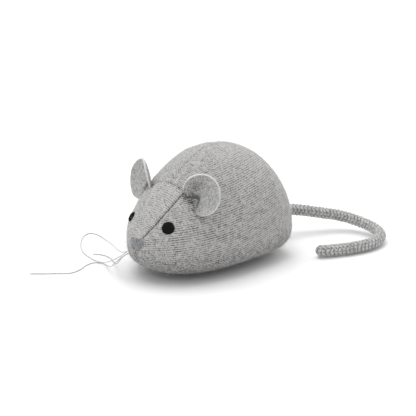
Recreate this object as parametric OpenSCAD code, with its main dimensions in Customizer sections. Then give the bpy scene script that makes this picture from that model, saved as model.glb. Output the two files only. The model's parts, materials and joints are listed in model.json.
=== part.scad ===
// Clockwork mouse: a knitted cover over a moulded shell, with a spring movement,
// two driven rear wheels and a swivelling front roller.
// The nose points to -Y, the mouse's left is +X, and the floor is z = 0.

/* [Body] */
// Length of the body, nose tip to rump
body_l = 84; // [72:1:102]
// Greatest width of the body
body_w = 57; // [47:0.5:69]
// Height of the crown above the floor
body_h = 56; // [48:0.5:68]
// Height of the lowest cloth above the floor
floor_gap = 1.5; // [1.2:0.1:2]
// Height of the nose tip
nose_h = 19.5; // [16:0.5:23]
// Height of the rearmost point of the rump
rump_h = 16; // [14:0.5:19]

/* [Cover and shell] */
// Thickness of the knitted cloth
cloth = 1.4; // [1:0.1:1.8]
// Room between cloth and shell
cloth_room = 0.2; // [0.15:0.05:0.4]
// Wall of the moulded shell
wall = 1.2; // [1:0.1:1.6]
// Width of the gap between two panels, where the seam lies
seam_gap = 0.8; // [0.8:0.1:1.2]
// Diameter of the seam thread
seam_d = 0.5; // [0.4:0.05:0.6]
// Distance of the cross seam on the head from the nose tip
head_seam_back = 22; // [18:0.5:26]
// Angle of the forehead seams above the side of the head
forehead_angle = 67; // [62:1:72]

/* [Face] */
// Diameter of an eye
eye_d = 5.8; // [4.5:0.1:7]
// Distance of the eyes from the nose tip
eye_back = 9.8; // [8:0.1:12]
// Angle of the left eye round the head
eye_angle = 44; // [38:1:50]
// Angle of the right eye, which was sewn a little lower
right_eye_angle = 37; // [32:1:50]
// Width of the nose patch
nose_w = 8.4; // [7:0.1:10]
// Height of the nose patch
nose_tall = 5.6; // [4.5:0.1:7]
// Diameter of an ear
ear_d = 19.5; // [16:0.5:23]
// Thickness of the ear felt
ear_t = 1.6; // [1.2:0.1:2.2]

/* [Tail and threads] */
// Diameter of the knitted tail
tail_d = 5.8; // [4.8:0.1:7]
// Height of the tail root
tail_z = 13.5; // [12.5:0.1:15]
// Diameter of the muzzle threads
thread_d = 0.5; // [0.4:0.05:0.6]
// Room for the tail in its opening
tail_room = 1.4; // [1.4:0.1:1.8]

/* [Base plate] */
// Width of the base plate
plate_w = 34; // [32:0.5:36]
// Thickness of the base plate
plate_t = 1.6; // [1.2:0.1:2]
// Diameter of the base screws
screw_d = 1.6; // [1.4:0.1:2]

/* [Running gear] */
// Diameter of the rear wheels over the tyres
wheel_d = 16; // [13.5:0.5:19]
// Width of a rear wheel
wheel_w = 3; // [2.5:0.1:3.4]
// Diameter of the drive axle
axle_d = 2; // [1.8:0.1:2.2]
// Place of the drive axle along the body
axle_y = 20; // [19:0.5:21]
// Diameter of the front roller
roller_d = 8; // [7:0.5:9]
// Width of the front roller
roller_w = 4; // [3:0.1:5]
// Distance of the roller behind its swivel
trail = 3.5; // [3:0.1:4]
// Place of the front swivel along the body
swivel_y = -15; // [-17:0.5:-13]

/* [Movement] */
// Module of the gear teeth
gear_module = 0.5; // [0.45:0.01:0.52]
// Distance between the frame plates
frame_in = 14.8; // [14.8:0.1:15.6]
// Thickness of a frame plate
frame_t = 0.8; // [0.6:0.1:1]
// Diameter of the spring arbor
arbor_d = 3; // [2.6:0.1:3.4]
// Thickness of the mainspring band
band_t = 0.3; // [0.2:0.05:0.4]
// Diameter of the pillars
pillar_d = 3; // [2.4:0.1:3.2]
// Running clearance of a shaft, on the radius
run_fit = 0.05; // [0.03:0.01:0.08]
// Span of the winding key
key_span = 18; // [14:0.5:20]

/* [Hidden] */
$fn = 48;

fixed_fit = 0.01;
nose_y = -body_l / 2;
rump_y = body_l / 2;
widest_y = rump_y - 30;
highest_y = rump_y - 38.5;
head_seam_y = nose_y + head_seam_back;

// Roundness of the body: the powers of its outlines
side_front = [2.8, 1.5];
side_rear = 3.6;
top_front = [1.55, 1.05];
top_rear = 2.5;
belly_front = [5, 2.2];
belly_rear = 4;
round_top = 2.05;
round_belly = 3;

// ---- The body's surface, d inside the cloth's outside -------------------------------

function fall(t, p, q) = pow(max(0, 1 - pow(min(1, t), p)), 1 / q);
function to_nose(y, from, d) = (from - y) / (from - nose_y - d);
function to_rump(y, from, d) = (y - from) / (rump_y - d - from);

function side(y, d) = (body_w / 2 - d) * (y < widest_y
    ? fall(to_nose(y, widest_y, d), side_front[0], side_front[1])
    : fall(to_rump(y, widest_y, d), side_rear, side_rear));

function crown(y, d) = y < highest_y
    ? nose_h + (body_h - d - nose_h) * fall(to_nose(y, highest_y, d), top_front[0], top_front[1])
    : rump_h + (body_h - d - rump_h) * fall(to_rump(y, highest_y, d), top_rear, top_rear);

function belly(y, d) = y < widest_y
    ? nose_h - (nose_h - floor_gap - d) * fall(to_nose(y, widest_y, d), belly_front[0], belly_front[1])
    : rump_h - (rump_h - floor_gap - d) * fall(to_rump(y, widest_y, d), belly_rear, belly_rear);

function waist(y, d) = y < widest_y
    ? rump_h + (nose_h - rump_h) * pow(min(1, to_nose(y, widest_y, d)), 2)
    : rump_h;

function bulge(v, n) = sign(v) * pow(abs(v), 2 / n);

// A point of the surface at y, angle degrees above the side
function skin(y, angle, d) =
    let (n = angle > 0 && angle < 180 ? round_top : round_belly)
    let (reach = n == round_top ? crown(y, d) - waist(y, d) : waist(y, d) - belly(y, d))
    [side(y, d) * bulge(cos(angle), n), y, waist(y, d) + reach * bulge(sin(angle), n)];

function unit(v) = v / norm(v);
function skin_normal(y, angle) =
    unit(cross(skin(y, angle + 1, 0) - skin(y, angle - 1, 0), skin(y + 0.2, angle, 0) - skin(y - 0.2, angle, 0)));

// ---- Base plate outline ---------------------------------------------------------------

plate_z = floor_gap + 0.3;
plate_top = plate_z + plate_t;
plate_front = nose_y + 15;
plate_rear = max(rump_y - 6.5, axle_y + wheel_d / 2 + 7.5);
plate_mid = 10;
hem_room = 0.8;

// Half width of the plate at y, grown by g
function plate_half(y, g) = (plate_w / 2 + g) * (y < plate_mid
    ? fall((plate_mid - y) / (plate_mid - plate_front + g), 2.4, 2)
    : fall((y - plate_mid) / (plate_rear + g - plate_mid), 3.5, 3.5));

// Angle at which a section of the surface reaches the half width x
function hem_angle(y, x, d) = x <= 0 ? -90 : -acos(pow(min(1, x / max(x, side(y, d))), round_belly / 2));

// Right half of an outline that follows the plate, front to rear
function plate_edge(g) = [for (i = [0:24])
    let (y = plate_front - g + (plate_rear - plate_front + 2 * g) * (1 - cos(180 * i / 24)) / 2)
    [plate_half(y, g), y]];

// ---- Places of the movement, as [y, z] -----------------------------------------------

great_teeth = 36;
pinion_teeth = 10;
wheel_teeth = 24;
leaf_teeth = 8;
star_teeth = 12;
ratchet_teeth = 14;

function pitch_r(n) = n * gear_module / 2;
function tip_r(n) = pitch_r(n) + 0.8 * gear_module;
function root_r(n) = pitch_r(n) - 1.15 * gear_module;
function polar(r, a) = [r * cos(a), r * sin(a)];
function direction(p, q) = atan2(q[1] - p[1], q[0] - p[0]);

axle_p = [axle_y, wheel_d / 2];
arbor_lean = 14.6;
arbor_gap = 1.5;
arbor_rise = tip_r(great_teeth) + axle_d / 2 + arbor_gap;
arbor_p = axle_p + arbor_rise * [-sin(arbor_lean), cos(arbor_lean)];

// Where two circles cross, on the rear side of the line from p up to q
function crossing(p, rp, q, rq) =
    let (span = norm(q - p), along = (rp * rp - rq * rq + span * span) / (2 * span))
    let (out = sqrt(rp * rp - along * along), u = (q - p) / span)
    p + along * u + out * [u[1], -u[0]];

inter_p = crossing(axle_p, pitch_r(wheel_teeth) + pitch_r(leaf_teeth),
    arbor_p, pitch_r(great_teeth) + pitch_r(pinion_teeth));
star_lift = 76;
star_p = inter_p + polar(pitch_r(wheel_teeth) + pitch_r(leaf_teeth), star_lift);
star_r = 4.5;
anchor_lift = 122;
anchor_p = star_p + polar(star_r + 2.4, anchor_lift);

frame_front = arbor_p[0] - 11;
frame_rear = inter_p[0] + 9;
frame_low = plate_top + 0.05;
frame_high = arbor_p[1] + 12;
tab_t = 0.8;
pillars = [
    arbor_p + polar(tip_r(great_teeth) + pillar_d / 2 + 0.7, 134),
    [frame_front + 2.4, plate_top + 6],
    inter_p + polar(tip_r(wheel_teeth) + pillar_d / 2 + 0.45, -40),
    [frame_rear - 2.4, frame_high - 4.4]
];
frame_x = frame_in / 2;

// Stations of the train across the body
spring_x = [-6.6, -1.6];
great_x = [-0.8, 0.2];
ratchet_x = [0.3, 1.2];
pinion_x = [-1.3, 0.7];
inter_x = [2.6, 3.4];
leaf_x = [2, 4];
star_x = [4.6, 5.4];

wheel_in = frame_x + frame_t + 1.3;
hub_r = wheel_d / 2 - 1.4;
screws = [[11.5, -8], [11.2, axle_y + wheel_d / 2 + 2.9]];
boss_d = 5;
boss_h = 5.5;
tab_screw_x = 5.4;
tab_screw_y = [frame_front + 3, frame_rear - 8.5];

key_gap = 0.6;
bush_r = 4;
key_x = body_w / 2 + 1.5;
key_hub = 5;

tail_pivot_y = rump_y - 5.8;
tail_hole = tail_d / 2 + tail_room;

// Middle line of the tail, from inside the rump to its tip
tail_route = [
    [0, 35, 13.5], [0, 39, 13.5], [0, 43, 13.5], [0.3, 47, 13.5], [1, 51, 13.3], [3, 57, 12.7], [6, 62.5, 11.7],
    [9.2, 67.5, 10.5], [12.4, 73, 9.1], [16, 77.8, 7.9], [20.8, 81.2, 6.7], [26.5, 83.2, 5.6],
    [32.5, 83.8, 4.7], [38, 82.6, 4], [42.2, 79.6, 3.6], [44.9, 75, 3.4], [45.7, 69, 3.3],
    [44.7, 62.5, 3.3], [42.6, 56.5, 3.3], [40, 51, 3.3], [37.3, 46.2, 3.3], [34.2, 42.2, 3.3]
];

// Middle lines of the muzzle threads, out of the muzzle and over the floor
loop_route = [
    [-5.6, -41.6, 14.2], [-10.5, -40.2, 12.2], [-19, -34, 8.6], [-30, -26.5, 4.8], [-42, -19, 2.1],
    [-52, -14.5, 0.8], [-60, -12, 0.3], [-65, -13, 0.3], [-64, -18, 0.3], [-59.5, -23.5, 0.3],
    [-54, -28.5, 0.3], [-47.6, -32.7, 0.3], [-41, -35, 0.3], [-33.5, -36.5, 0.6], [-25.5, -38.5, 2.6],
    [-18, -41, 6], [-11, -43, 10], [-6.6, -43, 13], [-4.9, -41.6, 14.8]
];
long_route = [
    [-4.5, -41.9, 13.7], [-8.5, -43.2, 10.6], [-13.5, -42.5, 6.4], [-18.5, -40.5, 3], [-24.5, -37.5, 1],
    [-29.5, -36, 0.35], [-33, -38, 0.3], [-33, -43, 0.3], [-30.8, -49, 0.3], [-30.5, -55, 0.3],
    [-34.5, -60, 0.3], [-39, -65, 0.3], [-43, -69, 0.3]
];
short_route = [
    [-5.4, -41.7, 13.3], [-9.5, -41.8, 10], [-15, -39, 5.6], [-21, -35.2, 2.2], [-27.5, -31.2, 0.7],
    [-33.5, -28.5, 0.3], [-38.5, -28.8, 0.3], [-42, -31, 0.3]
];

// ---- Sheets and tubes ------------------------------------------------------------------

trunk_y = head_seam_y + seam_gap / 2;
seam_step = 0.02;

// Stations along the head, closer at the nose, and along the trunk, closer at the rump
function head_rows(d) = [for (i = [0:8])
    nose_y + d + (head_seam_back - seam_gap / 2 - d) * (1 - cos(6 + 84 * i / 8))];
function trunk_rows(d) = concat([trunk_y], [for (i = [0:20])
    trunk_y + seam_step + (rump_y - d - trunk_y - seam_step) * sin(86.5 * i / 20)]);

// Faces that close two grids of the same rows and columns into one sheet with thickness.
// Each grid has an apex before its first row and one after its last.
function sheet_faces(rows, cols) =
    let (n = rows * cols, tip = 2 * n, m = cols - 1)
    concat(
        [for (i = [0:rows - 2], j = [0:m - 1], k = [0, 1])
            let (a = i * cols + j, b = a + cols)
            k == 0 ? [a, b, b + 1] : [a, b + 1, a + 1]],
        [for (i = [0:rows - 2], j = [0:m - 1], k = [0, 1])
            let (a = n + i * cols + j, b = a + cols)
            k == 0 ? [a, b + 1, b] : [a, a + 1, b + 1]],
        [for (j = [0:m - 1]) [tip, j, j + 1]],
        [for (j = [0:m - 1]) [tip + 1, n - cols + j + 1, n - cols + j]],
        [for (j = [0:m - 1]) [tip + 2, n + j + 1, n + j]],
        [for (j = [0:m - 1]) [tip + 3, 2 * n - cols + j, 2 * n - cols + j + 1]],
        [for (i = [0:rows - 2], k = [0, 1])
            let (a = i * cols, b = a + cols)
            k == 0 ? [a, a + n, b + n] : [a, b + n, b]],
        [for (i = [0:rows - 2], k = [0, 1])
            let (a = i * cols + m, b = a + cols)
            k == 0 ? [a, b + n, a + n] : [a, b, b + n]],
        [[tip, tip + 2, n], [tip, n, 0], [tip, m, n + m], [tip, n + m, tip + 2]],
        [[tip + 1, n - cols, 2 * n - cols], [tip + 1, 2 * n - cols, tip + 3],
            [tip + 1, tip + 3, 2 * n - 1], [tip + 1, 2 * n - 1, n - 1]]
    );

function right_of_seam(p, gap) = [max(p[0], gap / 2), p[1], p[2]];

// One half of a skin between the depths d1 and d2, with the plate's opening below
module half_skin(d1, d2, gap, open, head_top) {
    cols = 15;
    function grid(d) = [for (y = concat(head_rows(d), trunk_rows(d)), j = [0:cols - 1])
        let (high = y <= trunk_y ? head_top : 90)
        let (low = hem_angle(y, plate_half(y, open), d))
        right_of_seam(skin(y, high + (low - high) * j / (cols - 1), d), gap)];
    function apex(y, z) = [gap / 2, y, z];
    ends = [for (d = [d1, d2], e = [0, 1])
        e == 0 ? apex(nose_y + d, nose_h) : apex(rump_y - d, rump_h)];
    polyhedron(concat(grid(d1), grid(d2), ends), sheet_faces(31, cols), convexity = 8);
}

// The front of the body as one block, d inside the cloth's outside
module head_block(d) {
    cols = 32;
    trunk = trunk_rows(d);
    rows = concat(head_rows(d), [for (i = [0:5]) trunk[i]]);
    n = len(rows) * cols;
    points = concat([for (y = rows, j = [0:cols - 1]) skin(y, 360 * j / cols, d)],
        [[0, nose_y + d, nose_h], [0, trunk[5], rump_h]]);
    faces = concat(
        [for (i = [0:len(rows) - 2], j = [0:cols - 1], k = [0, 1])
            let (a = i * cols, b = a + cols, j2 = (j + 1) % cols)
            k == 0 ? [a + j, b + j2, b + j] : [a + j, a + j2, b + j2]],
        [for (j = [0:cols - 1]) [n, (j + 1) % cols, j]],
        [for (j = [0:cols - 1]) [n + 1, n - cols + j, n - cols + (j + 1) % cols]]);
    polyhedron(points, faces, convexity = 4);
}

// The direction of a route at a point
function heading(p, i) = unit(p[min(len(p) - 1, i + 1)] - p[max(0, i - 1)]);
function carry(v, t) = unit(v - (v * t) * t);
// A side direction for each ring, carried along so that the tube doesn't twist
function ring_sides(p, i, v) = i == len(p) ? []
    : let (s = carry(v, heading(p, i))) concat([s], ring_sides(p, i + 1, s));

// A round tube of diameter d along the points
module tube(p, d, sides) {
    t0 = heading(p, 0);
    start = carry(abs(t0[2]) < 0.9 ? [0, 0, 1] : [1, 0, 0], t0);
    axes = ring_sides(p, 0, start);
    n = len(p);
    points = [for (i = [0:n - 1], j = [0:sides - 1])
        let (u = axes[i], v = cross(heading(p, i), axes[i]), a = 360 * j / sides)
        p[i] + d / 2 * (cos(a) * u + sin(a) * v)];
    faces = concat(
        [for (i = [0:n - 2], j = [0:sides - 1], k = [0, 1])
            let (a = i * sides, b = a + sides, j2 = (j + 1) % sides)
            k == 0 ? [a + j, b + j, b + j2] : [a + j, b + j2, a + j2]],
        [[for (j = [0:sides - 1]) j]],
        [[for (j = [sides - 1:-1:0]) (n - 1) * sides + j]]);
    polyhedron(points, faces, convexity = 6);
}

// A shape drawn in [y, z] about p, between two stations across the body
module across(p, x) {
    translate([x[0], p[0], p[1]]) rotate([90, 0, 90]) linear_extrude(x[1] - x[0]) children();
}

module rod(p, x, d) {
    translate([x[0], p[0], p[1]]) rotate([0, 90, 0]) cylinder(h = x[1] - x[0], d = d);
}

// Half widths of a tooth at its tip, on the pitch circle and at its foot, in modules
tooth = [0.3, 0.66, 0.92];

function tooth_angle(k, r) = tooth[k] * gear_module * 180 / PI / r;

// A gear outline with n teeth, one of them centred on the angle phase
module gear(n, phase) {
    tip = tooth_angle(0, tip_r(n));
    flank = tooth_angle(1, pitch_r(n));
    foot = tooth_angle(2, root_r(n));
    polygon([for (i = [0:n - 1], s = [[root_r(n), -foot], [pitch_r(n), -flank], [tip_r(n), -tip],
        [tip_r(n), tip], [pitch_r(n), flank], [root_r(n), foot]])
        polar(s[0], phase + 360 * i / n + s[1])]);
}

leaf_phase = direction(axle_p, inter_p);
wheel_phase = leaf_phase + 180 + 180 / wheel_teeth;
pinion_phase = direction(inter_p, arbor_p);
great_phase = pinion_phase + 180 + 180 / great_teeth;
wheel_pitch = 360 / wheel_teeth;
star_offset = (star_lift - wheel_phase) - wheel_pitch * round((star_lift - wheel_phase) / wheel_pitch);
star_phase = star_lift + 180 + star_offset * wheel_teeth / leaf_teeth + 180 / leaf_teeth;

// ---- Cover ------------------------------------------------------------------------------

module tail_opening() {
    translate([0, rump_y - 6, tail_z]) rotate([-90, 0, 0]) cylinder(h = 12, r = tail_hole);
}

module key_opening() {
    translate([-body_w, arbor_p[0], arbor_p[1]]) rotate([0, 90, 0])
        cylinder(h = body_w / 2 + 10, r = bush_r + fixed_fit);
}

module left_side_panel() {
    color("darkgray") difference() {
        half_skin(0, cloth, seam_gap, hem_room, forehead_angle);
        tail_opening();
    }
}

module right_side_panel() {
    color("darkgray") difference() {
        mirror([1, 0, 0]) half_skin(0, cloth, seam_gap, hem_room, forehead_angle);
        tail_opening();
        key_opening();
    }
}

// The panel between the two forehead seams, nose patch to cross seam
module forehead_panel() {
    rows = 8;
    cols = 9;
    function grid(d) = [for (i = [1:rows], j = [0:cols - 1])
        let (y = head_rows(d)[i])
        let (edge = forehead_angle + asin(min(0.9, seam_gap / side(y, d))))
        skin(y, edge + (180 - 2 * edge) * j / (cols - 1), d)];
    n = rows * cols;
    m = cols - 1;
    top = grid(0);
    under = grid(cloth);
    faces = concat(
        [for (i = [0:rows - 2], j = [0:m - 1], k = [0, 1])
            let (a = i * cols + j, b = a + cols)
            k == 0 ? [a, b + 1, b] : [a, a + 1, b + 1]],
        [for (i = [0:rows - 2], j = [0:m - 1], k = [0, 1])
            let (a = n + i * cols + j, b = a + cols)
            k == 0 ? [a, b, b + 1] : [a, b + 1, a + 1]],
        [for (i = [0:rows - 2], k = [0, 1])
            let (a = i * cols, b = a + cols)
            k == 0 ? [a, b + n, a + n] : [a, b, b + n]],
        [for (i = [0:rows - 2], k = [0, 1])
            let (a = i * cols + m, b = a + cols)
            k == 0 ? [a, a + n, b + n] : [a, b + n, b]],
        [for (j = [0:m - 1], k = [0, 1]) k == 0 ? [j, j + n, j + n + 1] : [j, j + n + 1, j + 1]],
        [for (j = [0:m - 1], k = [0, 1])
            let (a = n - cols + j)
            k == 0 ? [a, a + n + 1, a + n] : [a, a + 1, a + n + 1]]);
    color("silver") polyhedron(concat(top, under), faces, convexity = 6);
}

seam_depth = cloth / 2;

module forehead_seam() {
    tube([for (i = [2:8])
        let (y = head_rows(0)[i] - (i == 8 ? 0.6 : 0))
        let (mid = forehead_angle + asin(min(0.9, seam_gap / side(y, 0))) / 2)
        skin(y, mid, seam_depth)], seam_d, 8);
}

module forehead_seam_left() { color("dimgray") forehead_seam(); }
module forehead_seam_right() { color("dimgray") mirror([1, 0, 0]) forehead_seam(); }

module cross_seam() {
    color("dimgray") tube([for (a = [forehead_angle + 2:6:180 - forehead_angle - 2])
        skin(head_seam_y, a, seam_depth)], seam_d, 8);
}

module back_seam() {
    rows = trunk_rows(seam_depth);
    color("dimgray") tube([for (i = [1:2:21])
        skin(rows[i] + (i == 1 ? 0.8 : 0), 90, seam_depth)], seam_d, 8);
}

module chin_seam() {
    start = nose_y + 1.6;
    end = plate_front - hem_room - 0.3;
    color("dimgray") tube([for (i = [0:10])
        skin(start + (end - start) * i / 10, -90, seam_depth)], seam_d, 8);
}

// ---- Face ---------------------------------------------------------------------------------

patch_t = 0.9;
skin_room = 0.05;

module nose_patch() {
    color("slategray") difference() {
        intersection() {
            translate([0, nose_y + 6, nose_h - 0.7]) rotate([90, 0, 0]) linear_extrude(12)
                polygon([for (a = [0:15:345]) [nose_w / 2 * cos(a), nose_tall / 2 * sin(a)]]);
            head_block(-patch_t);
        }
        head_block(-skin_room);
    }
}

// Turns an upright shape so that it stands on the surface
module on_skin(y, angle) {
    n = skin_normal(y, angle);
    translate(skin(y, angle, 0)) rotate([0, acos(n[2]), atan2(n[1], n[0])]) children();
}

module eye(angle) {
    difference() {
        on_skin(nose_y + eye_back, angle) translate([0, 0, -0.6]) cylinder(h = 1.5, d = eye_d);
        head_block(-skin_room);
    }
}

module eye_left() { color("black") eye(eye_angle); }
module eye_right() { color("black") mirror([1, 0, 0]) eye(right_eye_angle); }

ear_lean = 79;
ear_turn = 9;
ear_roll = 37;
ear_angle = 51;
ear_cup_r = 20;
ear_up = [
    sin(ear_roll) * cos(ear_turn) - cos(ear_roll) * cos(ear_lean) * sin(ear_turn),
    sin(ear_roll) * sin(ear_turn) + cos(ear_roll) * cos(ear_lean) * cos(ear_turn),
    cos(ear_roll) * sin(ear_lean)
];
ear_foot = skin(head_seam_y, ear_angle, 0) + 0.42 * ear_d * ear_up;
// How far each ear sits from there in its seam; the right one was sewn lower
ear_seat = [[-0.3, 1, -2.1], [-0.3, 1, -4.2]];

// A shallow felt cup, open to the front, trimmed where it stands on the head
module ear(seat) {
    half = asin(ear_d / 2 / ear_cup_r);
    drop = ear_cup_r * (1 - cos(half)) / 2;
    difference() {
        translate(ear_foot + seat) rotate([ear_lean, 0, ear_turn]) translate([0, 0, -drop])
            translate([0, 0, ear_cup_r]) rotate_extrude() polygon(concat(
                [for (i = [0:8]) let (a = half * i / 8) ear_cup_r * [sin(a), -cos(a)]],
                [for (i = [8:-1:0]) let (a = half * i / 8) (ear_cup_r - ear_t) * [sin(a), -cos(a)]]));
        head_block(-skin_room);
    }
}

module ear_left() { color("lightgray") ear(ear_seat[0]); }
module ear_right() { color("lightgray") mirror([1, 0, 0]) ear(ear_seat[1]); }

// ---- Threads and tail -------------------------------------------------------------------

module whisker_loop() { color("whitesmoke") tube(loop_route, thread_d, 8); }
module whisker_long() { color("whitesmoke") tube(long_route, thread_d, 8); }
module whisker_short() { color("whitesmoke") tube(short_route, thread_d, 8); }

module tail_cord() {
    color("gray") tube(tail_route, tail_d, 10);
}

socket_wall = 0.9;
socket_y = [tail_pivot_y - 1.4, tail_pivot_y + 1.4];
socket_r = tail_d / 2 + socket_wall;
stub_r = 0.9;
lug_gap = 0.3;

// A ring that grips the tail, with a stub above and below to turn on
module tail_socket() {
    color("dimgray") {
        translate([0, socket_y[1], tail_z]) rotate([90, 0, 0]) difference() {
            cylinder(h = socket_y[1] - socket_y[0], r = socket_r);
            translate([0, 0, -1]) cylinder(h = 8, r = tail_d / 2 + fixed_fit);
        }
        for (s = [0, 1]) translate([0, tail_pivot_y, tail_z]) mirror([0, 0, s])
            translate([0, 0, socket_r - 0.2]) cylinder(h = 1.6, r = stub_r);
    }
}

// The frame round the tail socket, hung from the rear wall of the shell
module tail_bracket() {
    inner = [socket_r + 1.2, socket_r + lug_gap];
    bar = 1.1;
    front = tail_pivot_y - 0.9 - stub_r;
    depth = 2 * (0.9 + stub_r) - 0.2;
    back = rump_y - cloth - cloth_room - wall - 0.6;
    color("dimgray") difference() {
        union() {
            translate([-inner[0] - bar, front, tail_z - inner[1] - bar])
                cube([2 * (inner[0] + bar), depth, 2 * (inner[1] + bar)]);
            translate([-3, front, tail_z + inner[1]]) cube([6, back - front, bar]);
            translate([-3, back - 0.8, tail_z + inner[1]]) cube([6, 0.8, 3.5]);
        }
        translate([-inner[0], front - 1, tail_z - inner[1]]) cube([2 * inner[0], depth + 2, 2 * inner[1]]);
        translate([0, tail_pivot_y, tail_z - 10]) cylinder(h = 20, r = stub_r + run_fit);
        translate([0, front + depth, tail_z - inner[1] - bar]) rotate([45, 0, 0])
            cube([30, 1.4, 1.4], center = true);
    }
}

// ---- Shell and base ----------------------------------------------------------------------

shell_out = cloth + cloth_room;
shell_in = shell_out + wall;
ring_w = 2.4;
ring_h = 2.4;
ring_gap = 0.05;

module each_screw(side_sign) {
    for (s = screws) translate([side_sign * s[0], s[1], 0]) children();
}

// A flat ring on the base plate, with bosses for its screws, that the shell stands round
module mounting_ring() {
    outer = plate_edge(-0.8);
    inner = plate_edge(-0.8 - ring_w);
    low = plate_top + ring_gap;
    color("gainsboro") difference() {
        union() {
            translate([0, 0, low]) linear_extrude(ring_h) difference() {
                polygon(concat(outer, [for (i = [23:-1:1]) [-outer[i][0], outer[i][1]]]));
                polygon(concat(inner, [for (i = [23:-1:1]) [-inner[i][0], inner[i][1]]]));
            }
            for (s = [-1, 1]) each_screw(s) translate([0, 0, low]) cylinder(h = boss_h, d = boss_d);
        }
        for (s = [-1, 1]) each_screw(s) translate([0, 0, low - 1])
            cylinder(h = boss_h, r = screw_d / 2 + fixed_fit);
        translate([-bridge_x - 3.3, swivel_y - 2.8, low - 1]) cube([2 * bridge_x + 6.6, 5.6, 10]);
        translate([-wheel_in - wheel_w - 0.5, axle_y - wheel_d / 2 - 0.5, low - 1])
            cube([2 * (wheel_in + wheel_w) + 1, wheel_d + 1, 10]);
    }
}

// The left half of the moulded shell
module half_shell() {
    difference() {
        half_skin(shell_out, shell_in, 0.1, hem_room, 90);
        tail_opening();
    }
}

module shell_left() { color("gainsboro") half_shell(); }

module shell_right() {
    color("gainsboro") difference() {
        mirror([1, 0, 0]) half_shell();
        key_opening();
    }
}

module base_plate() {
    slot_y = sqrt(pow(wheel_d / 2, 2) - pow(wheel_d / 2 - plate_top, 2)) + 0.7;
    edge = plate_edge(0);
    color("dimgray") difference() {
        translate([0, 0, plate_z]) linear_extrude(plate_t)
            polygon(concat(edge, [for (i = [23:-1:1]) [-edge[i][0], edge[i][1]]]));
        for (s = [0, 1]) mirror([s, 0, 0]) translate([wheel_in - 0.5, axle_y - slot_y, 0])
            cube([wheel_w + 1, 2 * slot_y, 10]);
        translate([0, swivel_y, 0]) cylinder(h = 10, r = norm([trail + roller_d / 2, roller_w / 2]) + 0.6);
        for (s = [-1, 1]) each_screw(s) {
            cylinder(h = 10, r = screw_d / 2 + fixed_fit);
            translate([0, 0, plate_z - 1]) cylinder(h = 1.7, d = screw_head + 0.1);
        }
        for (x = [-tab_screw_x, tab_screw_x], y = tab_screw_y) translate([x, y, 0])
            cylinder(h = 10, r = tab_screw_r + fixed_fit);
    }
}

screw_head = 3.4;
screw_l = 5;

module base_screw(x, y) {
    color("silver") translate([x, y, plate_z]) difference() {
        union() {
            cylinder(h = 0.65, d = screw_head);
            cylinder(h = screw_l, d = screw_d);
        }
        for (a = [0, 90]) rotate([0, 0, a]) translate([-1, -0.2, -0.5]) cube([2, 0.4, 0.9]);
    }
}

module base_screw_1() { base_screw(screws[0][0], screws[0][1]); }
module base_screw_2() { base_screw(-screws[0][0], screws[0][1]); }
module base_screw_3() { base_screw(screws[1][0], screws[1][1]); }
module base_screw_4() { base_screw(-screws[1][0], screws[1][1]); }

// ---- Movement frame --------------------------------------------------------------------------

tab_screw_r = 0.6;
inter_r = 0.8;
star_arbor_r = 0.7;
anchor_arbor_r = 0.6;

module frame_plate(s) {
    x = s > 0 ? [frame_x, frame_x + frame_t] : [-frame_x - frame_t, -frame_x];
    tab_y = [[frame_front, 5], [frame_rear - 10.7, 4.5]];
    bores = [[axle_p, axle_d / 2 + run_fit], [arbor_p, arbor_d / 2 + run_fit], [inter_p, inter_r + run_fit],
        [star_p, star_arbor_r + run_fit], [anchor_p, anchor_arbor_r + run_fit]];
    color("lightsteelblue") difference() {
        union() {
            across([0, 0], x) polygon([
                [frame_front, frame_low], [frame_rear - 6.2, frame_low], [frame_rear - 5.2, frame_low + 2.45],
                [frame_rear, frame_low + 2.8],
                [frame_rear, frame_high - 3],
                [frame_rear - 3, frame_high], [frame_front + 3, frame_high], [frame_front, frame_high - 3]]);
            for (t = tab_y) translate([s > 0 ? frame_x - 4 : -frame_x, t[0], frame_low])
                cube([4, t[1], tab_t]);
        }
        for (b = bores) rod(b[0], [x[0] - 1, x[1] + 1], 2 * b[1]);
        for (p = pillars) rod(p, [x[0] - 1, x[1] + 1], 1.6 + 2 * fixed_fit);
        for (y = tab_screw_y) translate([s * tab_screw_x, y, 0]) cylinder(h = 10, r = tab_screw_r + fixed_fit);
    }
}

module frame_plate_left() { frame_plate(1); }
module frame_plate_right() { frame_plate(-1); }

// A shouldered pillar, riveted through both plates
module pillar(p) {
    color("goldenrod") {
        rod(p, [-frame_x, frame_x], pillar_d);
        rod(p, [-frame_x - frame_t - 0.5, frame_x + frame_t + 0.5], 1.6);
    }
}

module pillar_1() { pillar(pillars[0]); }
module pillar_2() { pillar(pillars[1]); }
module pillar_3() { pillar(pillars[2]); }
module pillar_4() { pillar(pillars[3]); }

module frame_screws() {
    color("silver") for (x = [-tab_screw_x, tab_screw_x], y = tab_screw_y) translate([x, y, 0]) {
        translate([0, 0, plate_z + 0.1]) cylinder(h = frame_low + tab_t - plate_z + 0.4, r = tab_screw_r);
        translate([0, 0, frame_low + tab_t]) cylinder(h = 0.5, r = 1.1);
    }
}

// ---- Spring and winding -------------------------------------------------------------------------

spring_r = [arbor_d / 2 + 0.5, 8.4];
spring_turns = 6;

// The band wound round the arbor, its outer end turned out to a pillar
module mainspring() {
    steps = spring_turns * 20;
    function radius(i) = spring_r[0] + (spring_r[1] - spring_r[0]) * i / steps;
    function angle(i) = 134 + 360 * i / 20;
    out = norm(pillars[0] - arbor_p) - pillar_d / 2 - 0.1;
    color("steelblue") across(arbor_p, spring_x) polygon(concat(
        [for (i = [0:steps]) polar(radius(i), angle(i))],
        [polar(out, 131), polar(out, 137)],
        [for (i = [steps:-1:0]) polar(radius(i) - band_t, angle(i))]));
}

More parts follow.
